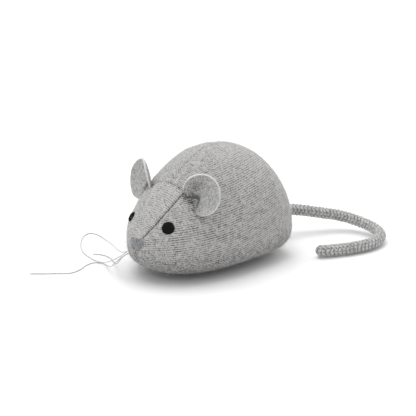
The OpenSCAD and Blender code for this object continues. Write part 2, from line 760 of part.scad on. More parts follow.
module spring_arbor() {
    color("goldenrod") {
        rod(arbor_p, [-key_x - key_gap - key_hub + 0.6, frame_x + frame_t + 0.8], arbor_d);
        rod(arbor_p, [spring_x[0], spring_x[1]], 2 * (spring_r[0] - band_t) - 0.1);
    }
}

module ratchet_wheel() {
    tip = 4.2;
    root = 3.5;
    color("goldenrod") difference() {
        across(arbor_p, ratchet_x) polygon([for (i = [0:ratchet_teeth - 1], k = [0, 1])
            polar(k == 0 ? tip : root, 360 * (i + (k == 0 ? 0 : 0.15)) / ratchet_teeth)]);
        rod(arbor_p, [ratchet_x[0] - 1, ratchet_x[1] + 1], arbor_d + 2 * fixed_fit);
    }
}

// A springy pawl on the great wheel
module click_spring() {
    color("silver") {
        across(arbor_p, [ratchet_x[0], ratchet_x[1] - 0.2]) polygon([
            polar(4.35, 2), polar(4.7, -8), polar(6.8, 30), polar(7, 62), polar(6.4, 62), polar(6.2, 32)]);
        rod(arbor_p + polar(6.7, 56), ratchet_x, 1.6);
    }
}

// A butterfly key on the end of the arbor
module winding_key() {
    eye_r = key_span / 4 + 0.6;
    eye_z = key_span / 2 - eye_r;
    eye_x = -key_x - key_gap - key_hub - eye_r + 1;
    hub = [-key_x - key_gap - key_hub, -key_x - key_gap];
    color("goldenrod") difference() {
        union() {
            rod(arbor_p, hub, 5);
            for (s = [-1, 1]) translate([eye_x, arbor_p[0] + 0.7, arbor_p[1] + s * eye_z])
                rotate([90, 0, 0]) cylinder(h = 1.4, r = eye_r);
            translate([eye_x, arbor_p[0] - 0.7, arbor_p[1] - 1.8]) cube([eye_r + 0.5, 1.4, 3.6]);
        }
        rod(arbor_p, [hub[0] + 0.6, hub[1] + 1], arbor_d + 2 * fixed_fit);
        for (s = [-1, 1]) translate([eye_x, arbor_p[0] + 2, arbor_p[1] + s * (eye_z + 0.4)])
            rotate([90, 0, 0]) cylinder(h = 4, r = eye_r - 2.4);
    }
}

// The flanged bush in the cover that the arbor comes out of
module key_bush() {
    color("goldenrod") difference() {
        union() {
            rod(arbor_p, [-key_x, -key_x + 6], 2 * bush_r);
            rod(arbor_p, [-key_x, -key_x + 0.8], 2 * bush_r + 3);
        }
        rod(arbor_p, [-key_x - 1, -key_x + 7], arbor_d + 2 * run_fit);
    }
}

// ---- Train -------------------------------------------------------------------------------------

module great_wheel() {
    color("gold") difference() {
        across(arbor_p, great_x) gear(great_teeth, great_phase);
        rod(arbor_p, [great_x[0] - 1, great_x[1] + 1], arbor_d + 2 * run_fit);
        for (a = [0:72:359]) rod(arbor_p + polar(5.2, a + 20), [great_x[0] - 1, great_x[1] + 1], 2.6);
    }
}

// The arbor with its pinion cut on it
module intermediate_arbor() {
    color("silver") {
        rod(inter_p, [-frame_x - frame_t - 0.4, frame_x + frame_t + 0.4], 2 * inter_r);
        across(inter_p, pinion_x) gear(pinion_teeth, pinion_phase);
    }
}

module intermediate_wheel() {
    color("gold") difference() {
        across(inter_p, inter_x) gear(wheel_teeth, wheel_phase);
        rod(inter_p, [inter_x[0] - 1, inter_x[1] + 1], 2 * (inter_r + fixed_fit));
        for (a = [0:90:359]) rod(inter_p + polar(3.2, a + 45), [inter_x[0] - 1, inter_x[1] + 1], 1.8);
    }
}

module drive_axle() {
    reach = wheel_in + wheel_w + 0.6;
    color("silver") rod(axle_p, [-reach, reach], axle_d);
}

module axle_pinion() {
    color("silver") difference() {
        across(axle_p, leaf_x) gear(leaf_teeth, leaf_phase);
        rod(axle_p, [leaf_x[0] - 1, leaf_x[1] + 1], axle_d + 2 * fixed_fit);
    }
}

// A wheel with a raised hub and a groove for its tyre
module rear_wheel(s) {
    x = s > 0 ? [wheel_in, wheel_in + wheel_w] : [-wheel_in - wheel_w, -wheel_in];
    color("whitesmoke") difference() {
        rod(axle_p, x, 2 * hub_r);
        rod(axle_p, [x[0] - 1, x[1] + 1], axle_d + 2 * fixed_fit);
        for (e = [0, 1]) translate([x[e] + (e == 0 ? -1 : -0.7), 0, 0]) difference() {
            rod(axle_p, [0, 1.7], 2 * hub_r - 2.4);
            rod(axle_p, [-1, 3], axle_d + 2.4);
        }
    }
}

module rear_wheel_left() { rear_wheel(1); }
module rear_wheel_right() { rear_wheel(-1); }

module tyre(s) {
    x = s > 0 ? wheel_in : -wheel_in - wheel_w;
    color("black") translate([x, axle_p[0], axle_p[1]]) rotate([0, 90, 0]) rotate_extrude() polygon([
        [hub_r + fixed_fit, 0], [wheel_d / 2 - 0.4, 0], [wheel_d / 2, 0.4], [wheel_d / 2, wheel_w - 0.4],
        [wheel_d / 2 - 0.4, wheel_w], [hub_r + fixed_fit, wheel_w]]);
}

module tyre_left() { tyre(1); }
module tyre_right() { tyre(-1); }

// ---- Governor --------------------------------------------------------------------------------------

module star_arbor() {
    color("silver") {
        rod(star_p, [-frame_x - frame_t - 0.4, frame_x + frame_t + 0.4], 2 * star_arbor_r);
        across(star_p, leaf_x) gear(leaf_teeth, star_phase);
    }
}

module star_wheel() {
    color("gold") difference() {
        across(star_p, star_x) polygon([for (i = [0:star_teeth - 1], k = [0, 1])
            polar(k == 0 ? star_r : star_r - 1.3, 360 * (i + k / 2) / star_teeth)]);
        rod(star_p, [star_x[0] - 1, star_x[1] + 1], 2 * (star_arbor_r + fixed_fit));
    }
}

module anchor_arbor() {
    color("silver") rod(anchor_p, [-frame_x - frame_t - 0.4, frame_x + frame_t + 0.4], 2 * anchor_arbor_r);
}

// A rocking anchor with two arms over the star wheel
module governor_anchor() {
    pallet_r = star_r + 1.2;
    color("silver") difference() {
        union() {
            rod(anchor_p, star_x, 2.8);
            for (s = [-1, 1]) {
                tip = star_p + polar(pallet_r, anchor_lift + 52 * s);
                across(anchor_p, star_x) rotate(direction(anchor_p, tip)) translate([0, -0.4])
                    square([norm(tip - anchor_p), 0.8]);
                rod(tip, star_x, 1);
            }
        }
        rod(anchor_p, [star_x[0] - 1, star_x[1] + 1], 2 * (anchor_arbor_r + fixed_fit));
    }
}

// ---- Front roller -------------------------------------------------------------------------------------

roller_p = [swivel_y + trail, roller_d / 2];
fork_top = roller_d + 3.7;
fork_in = roller_w / 2 + 0.35;
fork_t = 0.8;
bridge_z = fork_top + 0.3;
bridge_x = norm([trail + roller_d / 2, roller_w / 2]) + 0.9;
rivet_r = 0.8;

// A strap over the opening in the base plate, which carries the swivel
module front_bridge() {
    color("lightsteelblue") difference() {
        translate([0, swivel_y + 2.5, 0]) rotate([90, 0, 0]) linear_extrude(5) polygon([
            [-bridge_x - 3, frame_low], [-bridge_x, frame_low], [-bridge_x, bridge_z], [bridge_x, bridge_z],
            [bridge_x, frame_low], [bridge_x + 3, frame_low], [bridge_x + 3, frame_low + 0.8],
            [bridge_x + 0.8, frame_low + 0.8], [bridge_x + 0.8, bridge_z + 0.8],
            [-bridge_x - 0.8, bridge_z + 0.8], [-bridge_x - 0.8, frame_low + 0.8],
            [-bridge_x - 3, frame_low + 0.8]]);
        translate([0, swivel_y, 0]) cylinder(h = 30, r = rivet_r + fixed_fit);
    }
}

module front_fork() {
    color("silver") difference() {
        union() {
            for (s = [0, 1]) mirror([s, 0, 0]) across([0, 0], [fork_in, fork_in + fork_t]) polygon([
                [swivel_y - 2.4, fork_top], [swivel_y + 2.4, fork_top],
                [roller_p[0] + 1.6, roller_p[1] + 0.6], [roller_p[0] + 1.2, roller_p[1] - 1.4],
                [roller_p[0] - 1.2, roller_p[1] - 1.4], [roller_p[0] - 1.6, roller_p[1] + 0.6]]);
            translate([-fork_in - fork_t, swivel_y - 2.4, fork_top - 0.8])
                cube([2 * (fork_in + fork_t), 4.8, 0.8]);
        }
        translate([0, swivel_y, 0]) cylinder(h = 30, r = rivet_r + run_fit);
        rod(roller_p, [-10, 10], 1.2 + 2 * fixed_fit);
    }
}

module fork_rivet() {
    color("goldenrod") translate([0, swivel_y, 0]) {
        translate([0, 0, fork_top - 1.6]) cylinder(h = 3.4, r = rivet_r);
        translate([0, 0, fork_top - 1.6]) cylinder(h = 0.7, r = 1.6);
        translate([0, 0, bridge_z + 0.85]) cylinder(h = 0.7, r = 1.6);
    }
}

module front_axle() {
    color("silver") rod(roller_p, [-fork_in - fork_t - 0.4, fork_in + fork_t + 0.4], 1.2);
}

module front_roller() {
    color("black") difference() {
        rod(roller_p, [-roller_w / 2, roller_w / 2], roller_d);
        rod(roller_p, [-5, 5], 1.2 + 2 * run_fit);
    }
}

left_side_panel();
right_side_panel();
forehead_panel();
forehead_seam_left();
forehead_seam_right();
cross_seam();
back_seam();
chin_seam();
nose_patch();
eye_left();
eye_right();
ear_left();
ear_right();
whisker_loop();
whisker_long();
whisker_short();
tail_cord();
tail_socket();
tail_bracket();
shell_left();
shell_right();
mounting_ring();
base_plate();
base_screw_1();
base_screw_2();
base_screw_3();
base_screw_4();
frame_plate_left();
frame_plate_right();
pillar_1();
pillar_2();
pillar_3();
pillar_4();
frame_screws();
mainspring();
spring_arbor();
ratchet_wheel();
click_spring();
winding_key();
key_bush();
great_wheel();
intermediate_arbor();
intermediate_wheel();
drive_axle();
axle_pinion();
rear_wheel_left();
rear_wheel_right();
tyre_left();
tyre_right();
star_arbor();
star_wheel();
anchor_arbor();
governor_anchor();
front_bridge();
front_fork();
fork_rivet();
front_axle();
front_roller();
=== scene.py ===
# %% [markdown]
# # A wind-up mouse in a knitted cover
# The toy is a small clockwork runner: a spring movement on a base plate, a
# moulded shell over it, and a cover of grey jersey sewn from a few panels.
# The frame holds the hard parts at their true places, and this lesson adds
# the cloth, the felt, the threads, the tail and every finish around them.

# %% Load the frame
import json
import math

import bmesh
import bpy
import numpy as np
from mathutils import Matrix, Vector
from mathutils.bvhtree import BVHTree


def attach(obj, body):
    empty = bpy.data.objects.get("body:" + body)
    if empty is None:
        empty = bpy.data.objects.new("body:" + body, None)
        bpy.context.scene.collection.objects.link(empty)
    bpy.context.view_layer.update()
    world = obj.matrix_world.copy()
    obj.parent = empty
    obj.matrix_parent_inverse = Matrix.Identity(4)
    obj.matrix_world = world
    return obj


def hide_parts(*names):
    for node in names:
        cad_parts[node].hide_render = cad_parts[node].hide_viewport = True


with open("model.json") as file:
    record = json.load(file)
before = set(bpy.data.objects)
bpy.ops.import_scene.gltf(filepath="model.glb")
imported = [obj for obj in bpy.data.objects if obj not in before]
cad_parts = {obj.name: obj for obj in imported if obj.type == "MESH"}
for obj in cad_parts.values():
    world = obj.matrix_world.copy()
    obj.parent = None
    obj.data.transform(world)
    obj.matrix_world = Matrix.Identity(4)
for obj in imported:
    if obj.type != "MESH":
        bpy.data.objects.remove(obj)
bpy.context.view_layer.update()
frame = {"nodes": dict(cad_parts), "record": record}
MM = 0.001

# %% [markdown]
# ## Camera and light
# A long lens from a little above the toy keeps the outlines calm. The light
# comes from a strong soft panel overhead, weaker ones behind and in front, and
# an even pale surround. Wide lights keep the shadows short and soft, so that
# they gather under the belly.

# %% Camera, floor and lights
CAMERA_TURN, CAMERA_RISE, CAMERA_FAR = math.radians(45.78), math.radians(19.27), 0.9
LOOK_AT = Vector((-0.00092, 0.00524, 0.025))
LENS_LENGTH, SENSOR_WIDE = 165.71, 36.0
PANEL_WIDE, PANEL_TARGET = 1.1, Vector((0, 0, 0.02))

sight = Vector((
    math.sin(CAMERA_TURN) * math.cos(CAMERA_RISE),
    -math.cos(CAMERA_TURN) * math.cos(CAMERA_RISE),
    math.sin(CAMERA_RISE),
))
lens = bpy.data.cameras.new("camera")
lens.lens, lens.sensor_width = LENS_LENGTH, SENSOR_WIDE
lens.clip_start, lens.clip_end = 0.05, 20
camera = bpy.data.objects.new("camera", lens)
camera.location = LOOK_AT + sight * CAMERA_FAR
camera.rotation_euler = (-sight).to_track_quat("-Z", "Y").to_euler()
bpy.context.scene.collection.objects.link(camera)
bpy.context.scene.camera = camera


def soft_panel(name, place, power):
    """A square area light that faces the toy."""
    lamp = bpy.data.lights.new(name, "AREA")
    lamp.shape, lamp.size, lamp.energy = "SQUARE", PANEL_WIDE, power
    shown = bpy.data.objects.new(name, lamp)
    shown.location = place
    aim = Vector(place) - PANEL_TARGET
    shown.rotation_euler = aim.to_track_quat("Z", "Y").to_euler()
    bpy.context.scene.collection.objects.link(shown)


soft_panel("light_above", (-0.24, 0.02, 1.08), 9.4)
soft_panel("light_rear", (0.05, 1.25, 0.75), 4.6)
soft_panel("light_front", (0.05, -1.20, 0.80), 2.2)

surround = bpy.data.worlds.new("surround")
surround.use_nodes = True
glow = surround.node_tree.nodes["Background"].inputs
glow["Color"].default_value, glow["Strength"].default_value = (1, 1, 1, 1), 0.70
bpy.context.scene.world = surround
bpy.context.scene.view_settings.view_transform = "Standard"
bpy.context.scene.view_settings.look = "None"
print("camera", tuple(round(v, 4) for v in camera.location))

# %% [markdown]
# ## The cords
# Three fine threads come out of the muzzle and wander over the floor, and a
# knitted cord with a wire core is the tail. They are fixed lengths, so their
# lines are settled before anything else, from the same points as the frame.

# %% Lines of the threads and the tail
TAIL_LINE = [
    (0, 35, 13.5), (0, 39, 13.5), (0, 43, 13.5), (0.3, 47, 13.5), (1, 51, 13.3),
    (3, 57, 12.7), (6, 62.5, 11.7), (9.2, 67.5, 10.5), (12.4, 73, 9.1), (16, 77.8, 7.9),
    (20.8, 81.2, 6.7), (26.5, 83.2, 5.6), (32.5, 83.8, 4.7), (38, 82.6, 4),
    (42.2, 79.6, 3.6), (44.9, 75, 3.4), (45.7, 69, 3.3), (44.7, 62.5, 3.3),
    (42.6, 56.5, 3.3), (40, 51, 3.3), (37.3, 46.2, 3.3), (34.2, 42.2, 3.3),
]
THREAD_LINES = {
    "whisker_loop": [
        (-5.6, -41.6, 14.2), (-10.5, -40.2, 12.2), (-19, -34, 8.6), (-30, -26.5, 4.8),
        (-42, -19, 2.1), (-52, -14.5, 0.8), (-60, -12, 0.3), (-65, -13, 0.3),
        (-64, -18, 0.3), (-59.5, -23.5, 0.3), (-54, -28.5, 0.3), (-47.6, -32.7, 0.3),
        (-41, -35, 0.3), (-33.5, -36.5, 0.6), (-25.5, -38.5, 2.6), (-18, -41, 6),
        (-11, -43, 10), (-6.6, -43, 13), (-4.9, -41.6, 14.8),
    ],
    "whisker_long": [
        (-4.5, -41.9, 13.7), (-8.5, -43.2, 10.6), (-13.5, -42.5, 6.4), (-18.5, -40.5, 3),
        (-24.5, -37.5, 1), (-29.5, -36, 0.35), (-33, -38, 0.3), (-33, -43, 0.3),
        (-30.8, -49, 0.3), (-30.5, -55, 0.3), (-34.5, -60, 0.3), (-39, -65, 0.3),
        (-43, -69, 0.3),
    ],
    "whisker_short": [
        (-5.4, -41.7, 13.3), (-9.5, -41.8, 10), (-15, -39, 5.6), (-21, -35.2, 2.2),
        (-27.5, -31.2, 0.7), (-33.5, -28.5, 0.3), (-38.5, -28.8, 0.3), (-42, -31, 0.3),
    ],
}
THREAD_WIDE = 0.45


def smooth_line(points, step):
    """Points every step millimetres on a smooth curve through the given ones."""
    p = np.array([points[0], *points, points[-1]], float)
    t = np.linspace(0, 1, 24, endpoint=False)[:, None]
    dense = [
        0.5 * (2 * b + (c - a) * t + (2 * a - 5 * b + 4 * c - e) * t**2
               + (3 * b - a - 3 * c + e) * t**3)
        for a, b, c, e in zip(p, p[1:], p[2:], p[3:])
    ]
    dense = np.vstack([*dense, p[-1:]])
    run = np.append(0, np.cumsum(np.linalg.norm(np.diff(dense, axis=0), axis=1)))
    stops = np.linspace(0, run[-1], max(2, int(round(run[-1] / step)) + 1))
    return np.column_stack([np.interp(stops, run, dense[:, k]) for k in range(3)])


def line_length(points):
    """Length along the points, in millimetres."""
    return float(np.linalg.norm(np.diff(points, axis=0), axis=1).sum())


def sides_along(line):
    """Two directions across the line at each point, carried along without twist."""
    heading = np.gradient(line, axis=0)
    heading /= np.linalg.norm(heading, axis=1)[:, None]
    side, sides = np.array((0, 0, 1), float), []
    for h in heading:
        side = side - side @ h * h
        side /= np.linalg.norm(side)
        sides.append(side)
    return np.array(sides), np.cross(heading, sides)


print("tail", round(line_length(smooth_line(TAIL_LINE, 0.5)), 1), "mm")

# %% [markdown]
# ## Mesh helpers
# Cloth and cords are worked out point by point, because each stitch has to be
# in the mesh, and then turned into pieces by the helpers below. An operator
# acts on whatever is selected, so a piece is always selected alone first.

# %% Mesh helpers
def mesh_piece(name, points, faces, values=None):
    """A new piece from points in millimetres, with its named values per point."""
    data = bpy.data.meshes.new(name)
    data.from_pydata((np.asarray(points, float) * MM).tolist(), [], faces)
    for key, value in (values or {}).items():
        data.attributes.new(key, "FLOAT", "POINT").data.foreach_set(
            "value", np.asarray(value, np.float32).ravel())
    piece = bpy.data.objects.new(name, data)
    bpy.context.scene.collection.objects.link(piece)
    data.validate()
    return piece


def only(piece):
    """Selects this piece alone, so that an operator acts on nothing else."""
    if bpy.context.mode != "OBJECT":
        bpy.ops.object.mode_set(mode="OBJECT")
    bpy.ops.object.select_all(action="DESELECT")
    piece.select_set(True)
    bpy.context.view_layer.objects.active = piece
    return piece


def apply_modifiers(piece):
    """Makes the modifiers part of the mesh."""
    only(piece)
    for m in list(piece.modifiers):
        bpy.ops.object.modifier_apply(modifier=m.name)


def merge_points(piece, distance):
    """Joins points that meet, and drops what has no area or no face."""
    shape = bmesh.new()
    shape.from_mesh(piece.data)
    bmesh.ops.remove_doubles(shape, verts=shape.verts, dist=distance)
    bmesh.ops.dissolve_degenerate(shape, dist=distance, edges=shape.edges)
    loose = [v for v in shape.verts if not v.link_faces]
    bmesh.ops.delete(shape, geom=loose, context="VERTS")
    shape.to_mesh(piece.data)
    shape.free()


def triangles(piece):
    """How many triangles the piece's faces make."""
    return sum(len(f.vertices) - 2 for f in piece.data.polygons)


def settle(piece, slot, *nodes, body="body"):
    """Shades a piece smooth, hangs it on its body and hides the nodes it stands for. slot is not
    used.
    """
    only(piece)
    bpy.ops.object.shade_smooth()
    piece.select_set(False)
    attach(piece, body)
    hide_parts(*nodes)


def band_faces(rings, around):
    """Faces between rings of points, each ring joined to the next."""
    faces = []
    for i in range(rings - 1):
        for j in range(around):
            k = (j + 1) % around
            near, far = i * around, (i + 1) * around
            faces.append((near + j, near + k, far + k, far + j))
    return faces


def tube(name, line, radius_of, around, values_of=None):
    """A closed tube along the line. radius_of takes the run and the angle in turns."""
    side, up = sides_along(line)
    run = np.append(0, np.cumsum(np.linalg.norm(np.diff(line, axis=0), axis=1)))
    turn = np.arange(around) / around
    r = radius_of(run[:, None], turn[None, :])
    rings = (line[:, None] + r[..., None] * (
        np.cos(2 * np.pi * turn)[None, :, None] * side[:, None]
        + np.sin(2 * np.pi * turn)[None, :, None] * up[:, None]))
    n = len(line)
    points = np.vstack([rings.reshape(-1, 3), line[:1], line[-1:]])
    faces = band_faces(n, around)
    for j in range(around):
        k = (j + 1) % around
        faces.append((n * around, k, j))
        faces.append((n * around + 1, (n - 1) * around + j, (n - 1) * around + k))
    values = None
    if values_of:
        values = {key: np.append(v.ravel(), [v[0].mean(), v[-1].mean()])
                  for key, v in values_of(run[:, None], turn[None, :]).items()}
    return mesh_piece(name, points, faces, values)


# %% [markdown]
# ## Finishes
# Wool jersey is heathered: light and dark fibres twisted together, which the
# fibre noise of one node group gives. The same group mixes its two tones by how
# high a point lies on its stitch, which paints shade into the hollows between
# stitches, and it takes the painted shade of seams, folds and the belly too.
# Metals and mouldings share a second group for fine grain and worn edges, so
# that no surface is one flat colour.

# %% Node helpers
def new_group(name, inputs, outputs):
    """An empty node group with named inputs and outputs."""
    group = bpy.data.node_groups.new(name, "ShaderNodeTree")
    for label, kind, value in inputs:
        socket = group.interface.new_socket(
            name=label, in_out="INPUT", socket_type="NodeSocket" + kind)
        socket.default_value = value
    for label, kind in outputs:
        group.interface.new_socket(
            name=label, in_out="OUTPUT", socket_type="NodeSocket" + kind)
    return group, group.nodes.new("NodeGroupInput"), group.nodes.new("NodeGroupOutput")


def fill(tree, node, values):
    """Fills a node's inputs: a value is a number or colour to set, or a socket to link."""
    for key, value in values.items():
        if isinstance(value, bpy.types.NodeSocket):
            tree.links.new(value, node.inputs[key])
        else:
            node.inputs[key].default_value = value


def put(tree, kind, values=None, **settings):
    """Adds a node with its settings and its inputs."""
    node = tree.nodes.new(kind)
    for key, value in settings.items():
        setattr(node, key, value)
    fill(tree, node, values or {})
    return node


def sums(tree, operation, a, b, clamp=False):
    node = put(tree, "ShaderNodeMath", {0: a, 1: b}, operation=operation, use_clamp=clamp)
    return node.outputs[0]


def swing(tree, value, amount):
    """A noise of 0 to 1 made into a push of half the amount either way."""
    return sums(tree, "MULTIPLY", sums(tree, "SUBTRACT", value, 0.5), amount)


def blend_colours(tree, share, a, b):
    return put(tree, "ShaderNodeMix", {0: share, 6: a, 7: b}, data_type="RGBA").outputs[2]


def noise(tree, where, scale, detail, rough):
    values = {"Vector": where, "Scale": scale, "Detail": detail, "Roughness": rough}
    return put(tree, "ShaderNodeTexNoise", values).outputs[0]


def remap(tree, value, old, new):
    """Stretches one range of values over another."""
    ends = dict(zip(("From Min", "From Max", "To Min", "To Max"), (*old, *new)))
    return put(tree, "ShaderNodeMapRange", {"Value": value, **ends}).outputs[0]


# %% Shared node groups
BLOTCH_SCALE, BLOTCH_SHARE, TONE_SHARE = 900.0, 1.1, 0.10
SMUDGE_SCALE, EDGE_RANGE = 160.0, (0.505, 0.57)

wool, given, made = new_group(
    "heathered_wool_and_painted_shade",
    [("Light", "Color", (0.5, 0.5, 0.5, 1)), ("Dark", "Color", (0.1, 0.1, 0.1, 1)),
     ("High", "Float", 1.0), ("Tone", "Float", 0.0),
     ("Fibre", "Float", 2600.0), ("Mottle", "Float", 0.5)],
    [("Color", "Color"), ("Height", "Float")])
where = put(wool, "ShaderNodeTexCoord").outputs["Object"]
fine = noise(wool, where, given.outputs["Fibre"], 4.0, 0.7)
blotch = noise(wool, where, BLOTCH_SCALE, 3.0, 0.65)
share = swing(wool, fine, given.outputs["Mottle"])
share = sums(wool, "ADD", share, swing(wool, blotch, BLOTCH_SHARE))
share = sums(wool, "ADD", share, sums(wool, "MULTIPLY", given.outputs["Tone"], TONE_SHARE))
share = sums(wool, "ADD", share, given.outputs["High"], clamp=True)
fill(wool, made, {
    "Color": blend_colours(wool, share, given.outputs["Dark"], given.outputs["Light"]),
    "Height": sums(wool, "ADD", fine, sums(wool, "MULTIPLY", blotch, 0.4)),
})

grain, given, made = new_group(
    "grain_and_wear",
    [("Colour", "Color", (0.5, 0.5, 0.5, 1)), ("Worn", "Color", (0.7, 0.7, 0.7, 1)),
     ("Grain", "Float", 900.0), ("Stretch", "Vector", (1, 1, 1)),
     ("Rough", "Float", 0.4), ("Wear", "Float", 0.5)],
    [("Color", "Color"), ("Roughness", "Float"), ("Height", "Float")])
where = put(grain, "ShaderNodeTexCoord").outputs["Object"]
stretched = put(grain, "ShaderNodeVectorMath", {0: where, 1: given.outputs["Stretch"]},
                operation="MULTIPLY").outputs[0]
fine = noise(grain, stretched, given.outputs["Grain"], 5.0, 0.65)
smudge = noise(grain, where, SMUDGE_SCALE, 3.0, 0.55)
edge = put(grain, "ShaderNodeNewGeometry").outputs["Pointiness"]
edge = sums(grain, "MULTIPLY", remap(grain, edge, EDGE_RANGE, (0.0, 1.0)), smudge)
edge = sums(grain, "MULTIPLY", edge, given.outputs["Wear"], clamp=True)
tone = remap(grain, fine, (0.3, 0.7), (0.86, 1.1))
plain = put(grain, "ShaderNodeVectorMath", {0: given.outputs["Colour"], 3: tone},
            operation="SCALE").outputs[0]
rough = sums(grain, "ADD", given.outputs["Rough"], swing(grain, fine, 0.22))
fill(grain, made, {
    "Color": blend_colours(grain, edge, plain, given.outputs["Worn"]),
    "Roughness": sums(grain, "ADD", rough, swing(grain, smudge, 0.16), clamp=True),
    "Height": fine,
})


# %% Finishes of the pieces
def grey(v, warm=0.0):
    """A grey of this strength, drawn towards red and away from blue by warm."""
    return (v * (1 + warm), v, v * (1 - warm), 1)


def finish_shell(name):
    """A material with a lone Principled shader, and its tree."""
    made = bpy.data.materials.new(name)
    made.use_nodes = True
    return made, made.node_tree, made.node_tree.nodes["Principled BSDF"]


def bump(tree, height, distance):
    return put(tree, "ShaderNodeBump", {"Height": height, "Distance": distance}).outputs[0]


def woollen(name, light, dark, fibre=2600.0, mottle=0.5, depth=0.00010, high=None, sheen=0.25):
    """Wool, felt or thread. high is the share of the light tone, or None to read it from the
    points, painted shade included.
    """
    made, tree, shader = finish_shell(name)
    group = put(tree, "ShaderNodeGroup", node_tree=wool)
    fill(tree, group, {"Light": light, "Dark": dark, "Fibre": fibre, "Mottle": mottle})
    if high is None:
        for key, label in (("lit_share", "High"), ("tone", "Tone")):
            stored = put(tree, "ShaderNodeAttribute", attribute_name=key)
            fill(tree, group, {label: stored.outputs["Fac"]})
    else:
        fill(tree, group, {"High": high})
    fill(tree, shader, {
        "Base Color": group.outputs["Color"],
        "Normal": bump(tree, group.outputs["Height"], depth),
        "Roughness": 0.95, "Specular IOR Level": 0.15,
        "Sheen Weight": sheen, "Sheen Roughness": 0.55,
    })
    return made


def hard(name, colour, worn, rough, metallic=0.0, scale=900.0, stretch=(1, 1, 1), wear=0.6,
         depth=0.00002):
    """Metal or moulding with grain and worn edges."""
    made, tree, shader = finish_shell(name)
    group = put(tree, "ShaderNodeGroup", node_tree=grain)
    fill(tree, group, {"Colour": colour, "Worn": worn, "Grain": scale,
                       "Stretch": stretch, "Rough": rough, "Wear": wear})
    fill(tree, shader, {
        "Base Color": group.outputs["Color"], "Roughness": group.outputs["Roughness"],
        "Normal": bump(tree, group.outputs["Height"], depth), "Metallic": metallic,
    })
    return made


JERSEY = woollen("grey_jersey", grey(0.47, 0.012), grey(0.020, 0.03), fibre=1500.0, mottle=2.4)
JERSEY_FINE = woollen("grey_jersey_fine", grey(0.49, 0.012), grey(0.026, 0.03),
                      fibre=1500.0, mottle=2.4)
FELT = woollen("ear_felt", grey(0.50, 0.01), grey(0.10, 0.02),
               fibre=1500.0, mottle=3.0, depth=0.00034)
# painted highlight: the cut edge of the felt is paler, where its thickness catches the light
FELT_EDGE_HIGHLIGHT = woollen("ear_felt_edge_highlight", grey(0.60, 0.01), grey(0.30, 0.02),
                    fibre=2400.0, mottle=1.2, high=0.8, depth=0.00014)
NOSE_FELT = woollen("nose_felt", (0.36, 0.37, 0.38, 1), (0.05, 0.055, 0.06, 1),
                    fibre=1600.0, mottle=2.2, high=0.62, depth=0.00025)
EYE_FELT = woollen("eye_felt", grey(0.009), grey(0.002),
                   fibre=4200.0, mottle=1.2, high=0.5, depth=0.00014, sheen=0.0)
SEAM = woollen("seam_thread", (0.075, 0.066, 0.06, 1), (0.03, 0.028, 0.026, 1),
               fibre=5200.0, high=0.5, depth=0.00004)
THREAD = woollen("fine_thread", grey(0.56), grey(0.30),
                 fibre=5200.0, mottle=0.6, high=0.7, depth=0.00003)
TAIL = woollen("tail_jersey", grey(0.56, 0.008), grey(0.07, 0.02), fibre=1500.0, mottle=2.0)
SHELL = hard("shell_moulding", grey(0.55), grey(0.7), 0.45)
PLATE = hard("plate_moulding", grey(0.06), grey(0.16), 0.42, scale=1400.0)
ZINC = hard("zinc_steel", grey(0.58), grey(0.8), 0.34, 1.0, 1500.0, (1, 0.06, 1))
SPRING = hard("spring_steel", (0.20, 0.22, 0.27, 1), grey(0.6), 0.28, 1.0, 1500.0, (0.1, 1, 1))
BRASS = hard("brass", (0.78, 0.56, 0.22, 1), (0.9, 0.72, 0.4, 1), 0.30, 1.0, 1300.0, (0.08, 1, 1))
NICKEL = hard("nickel_plate", grey(0.66, 0.02), grey(0.42, 0.05), 0.20, 1.0, 1100.0,
              (1, 0.3, 1), wear=0.35)
WHEEL = hard("wheel_moulding", (0.62, 0.60, 0.55, 1), grey(0.75), 0.4)
TYRE = hard("tyre_rubber", grey(0.028), grey(0.07), 0.72, scale=2200.0, depth=0.00005)
SLOT_FINISH = {
    "knit": JERSEY, "felt": FELT, "nose_felt": NOSE_FELT, "eye_felt": EYE_FELT,
    "seam_thread": SEAM, "whisker_thread": THREAD, "tail_knit": TAIL, "shell": SHELL,
    "plate": PLATE, "zinc_steel": ZINC, "spring_steel": SPRING, "brass": BRASS,
    "nickel": NICKEL, "wheel_plastic": WHEEL, "tyre_rubber": TYRE,
}


def give(piece, *finishes):
    """Puts these finishes on a piece in place of any it has."""
    piece.data.materials.clear()
    for finish in finishes:
        piece.data.materials.append(finish)
    return piece


node_slot = {part["node"]: part["material_slot"] for part in frame["record"]["subparts"]}
for name, shown in frame["nodes"].items():
    finish = SLOT_FINISH.get(node_slot.get(name, ""))
    if finish is None:
        print("no finish for", name)
        continue
    if not shown.material_slots:
        shown.data.materials.append(finish)
    for place in shown.material_slots:
        place.material = finish
print("finishes", len(bpy.data.materials))

# %% [markdown]
# ## The form of the body
# The cover follows the moulded shell: an egg with a low pointed nose, a high
# back and a full, nearly upright rump. A few power curves give its side, its
# crown and its belly at every station, and each cross section is a squared
# ellipse. The same curves shape the frame, so cloth and shell agree.

# %% Outline curves of the body, in millimetres
NOSE_Y, RUMP_Y, WIDEST_Y, HIGHEST_Y = -42.0, 42.0, 12.0, 3.5
HALF_WIDE, HIGH, LOW, NOSE_HIGH, RUMP_HIGH = 28.5, 56.0, 1.5, 19.5, 16.0
ROUND_TOP, ROUND_BELLY = 2.05, 3.0
HEAD_SEAM_Y, FOREHEAD_ANGLE, HEM_ROOM = -20.0, 67.0, 0.8
RUMP_SQUARE = 3.6
PLATE_HALF, PLATE_MIDDLE_Y, PLATE_FRONT, PLATE_REAR = 17, 10, 37, 25.5


def fall(t, p, q):
    """From 1 at t = 0 down to 0 at t = 1; higher powers keep it full for longer."""
    t = np.clip(t, 0, 1)
    return np.maximum(0, 1 - t**p) ** (1 / q)


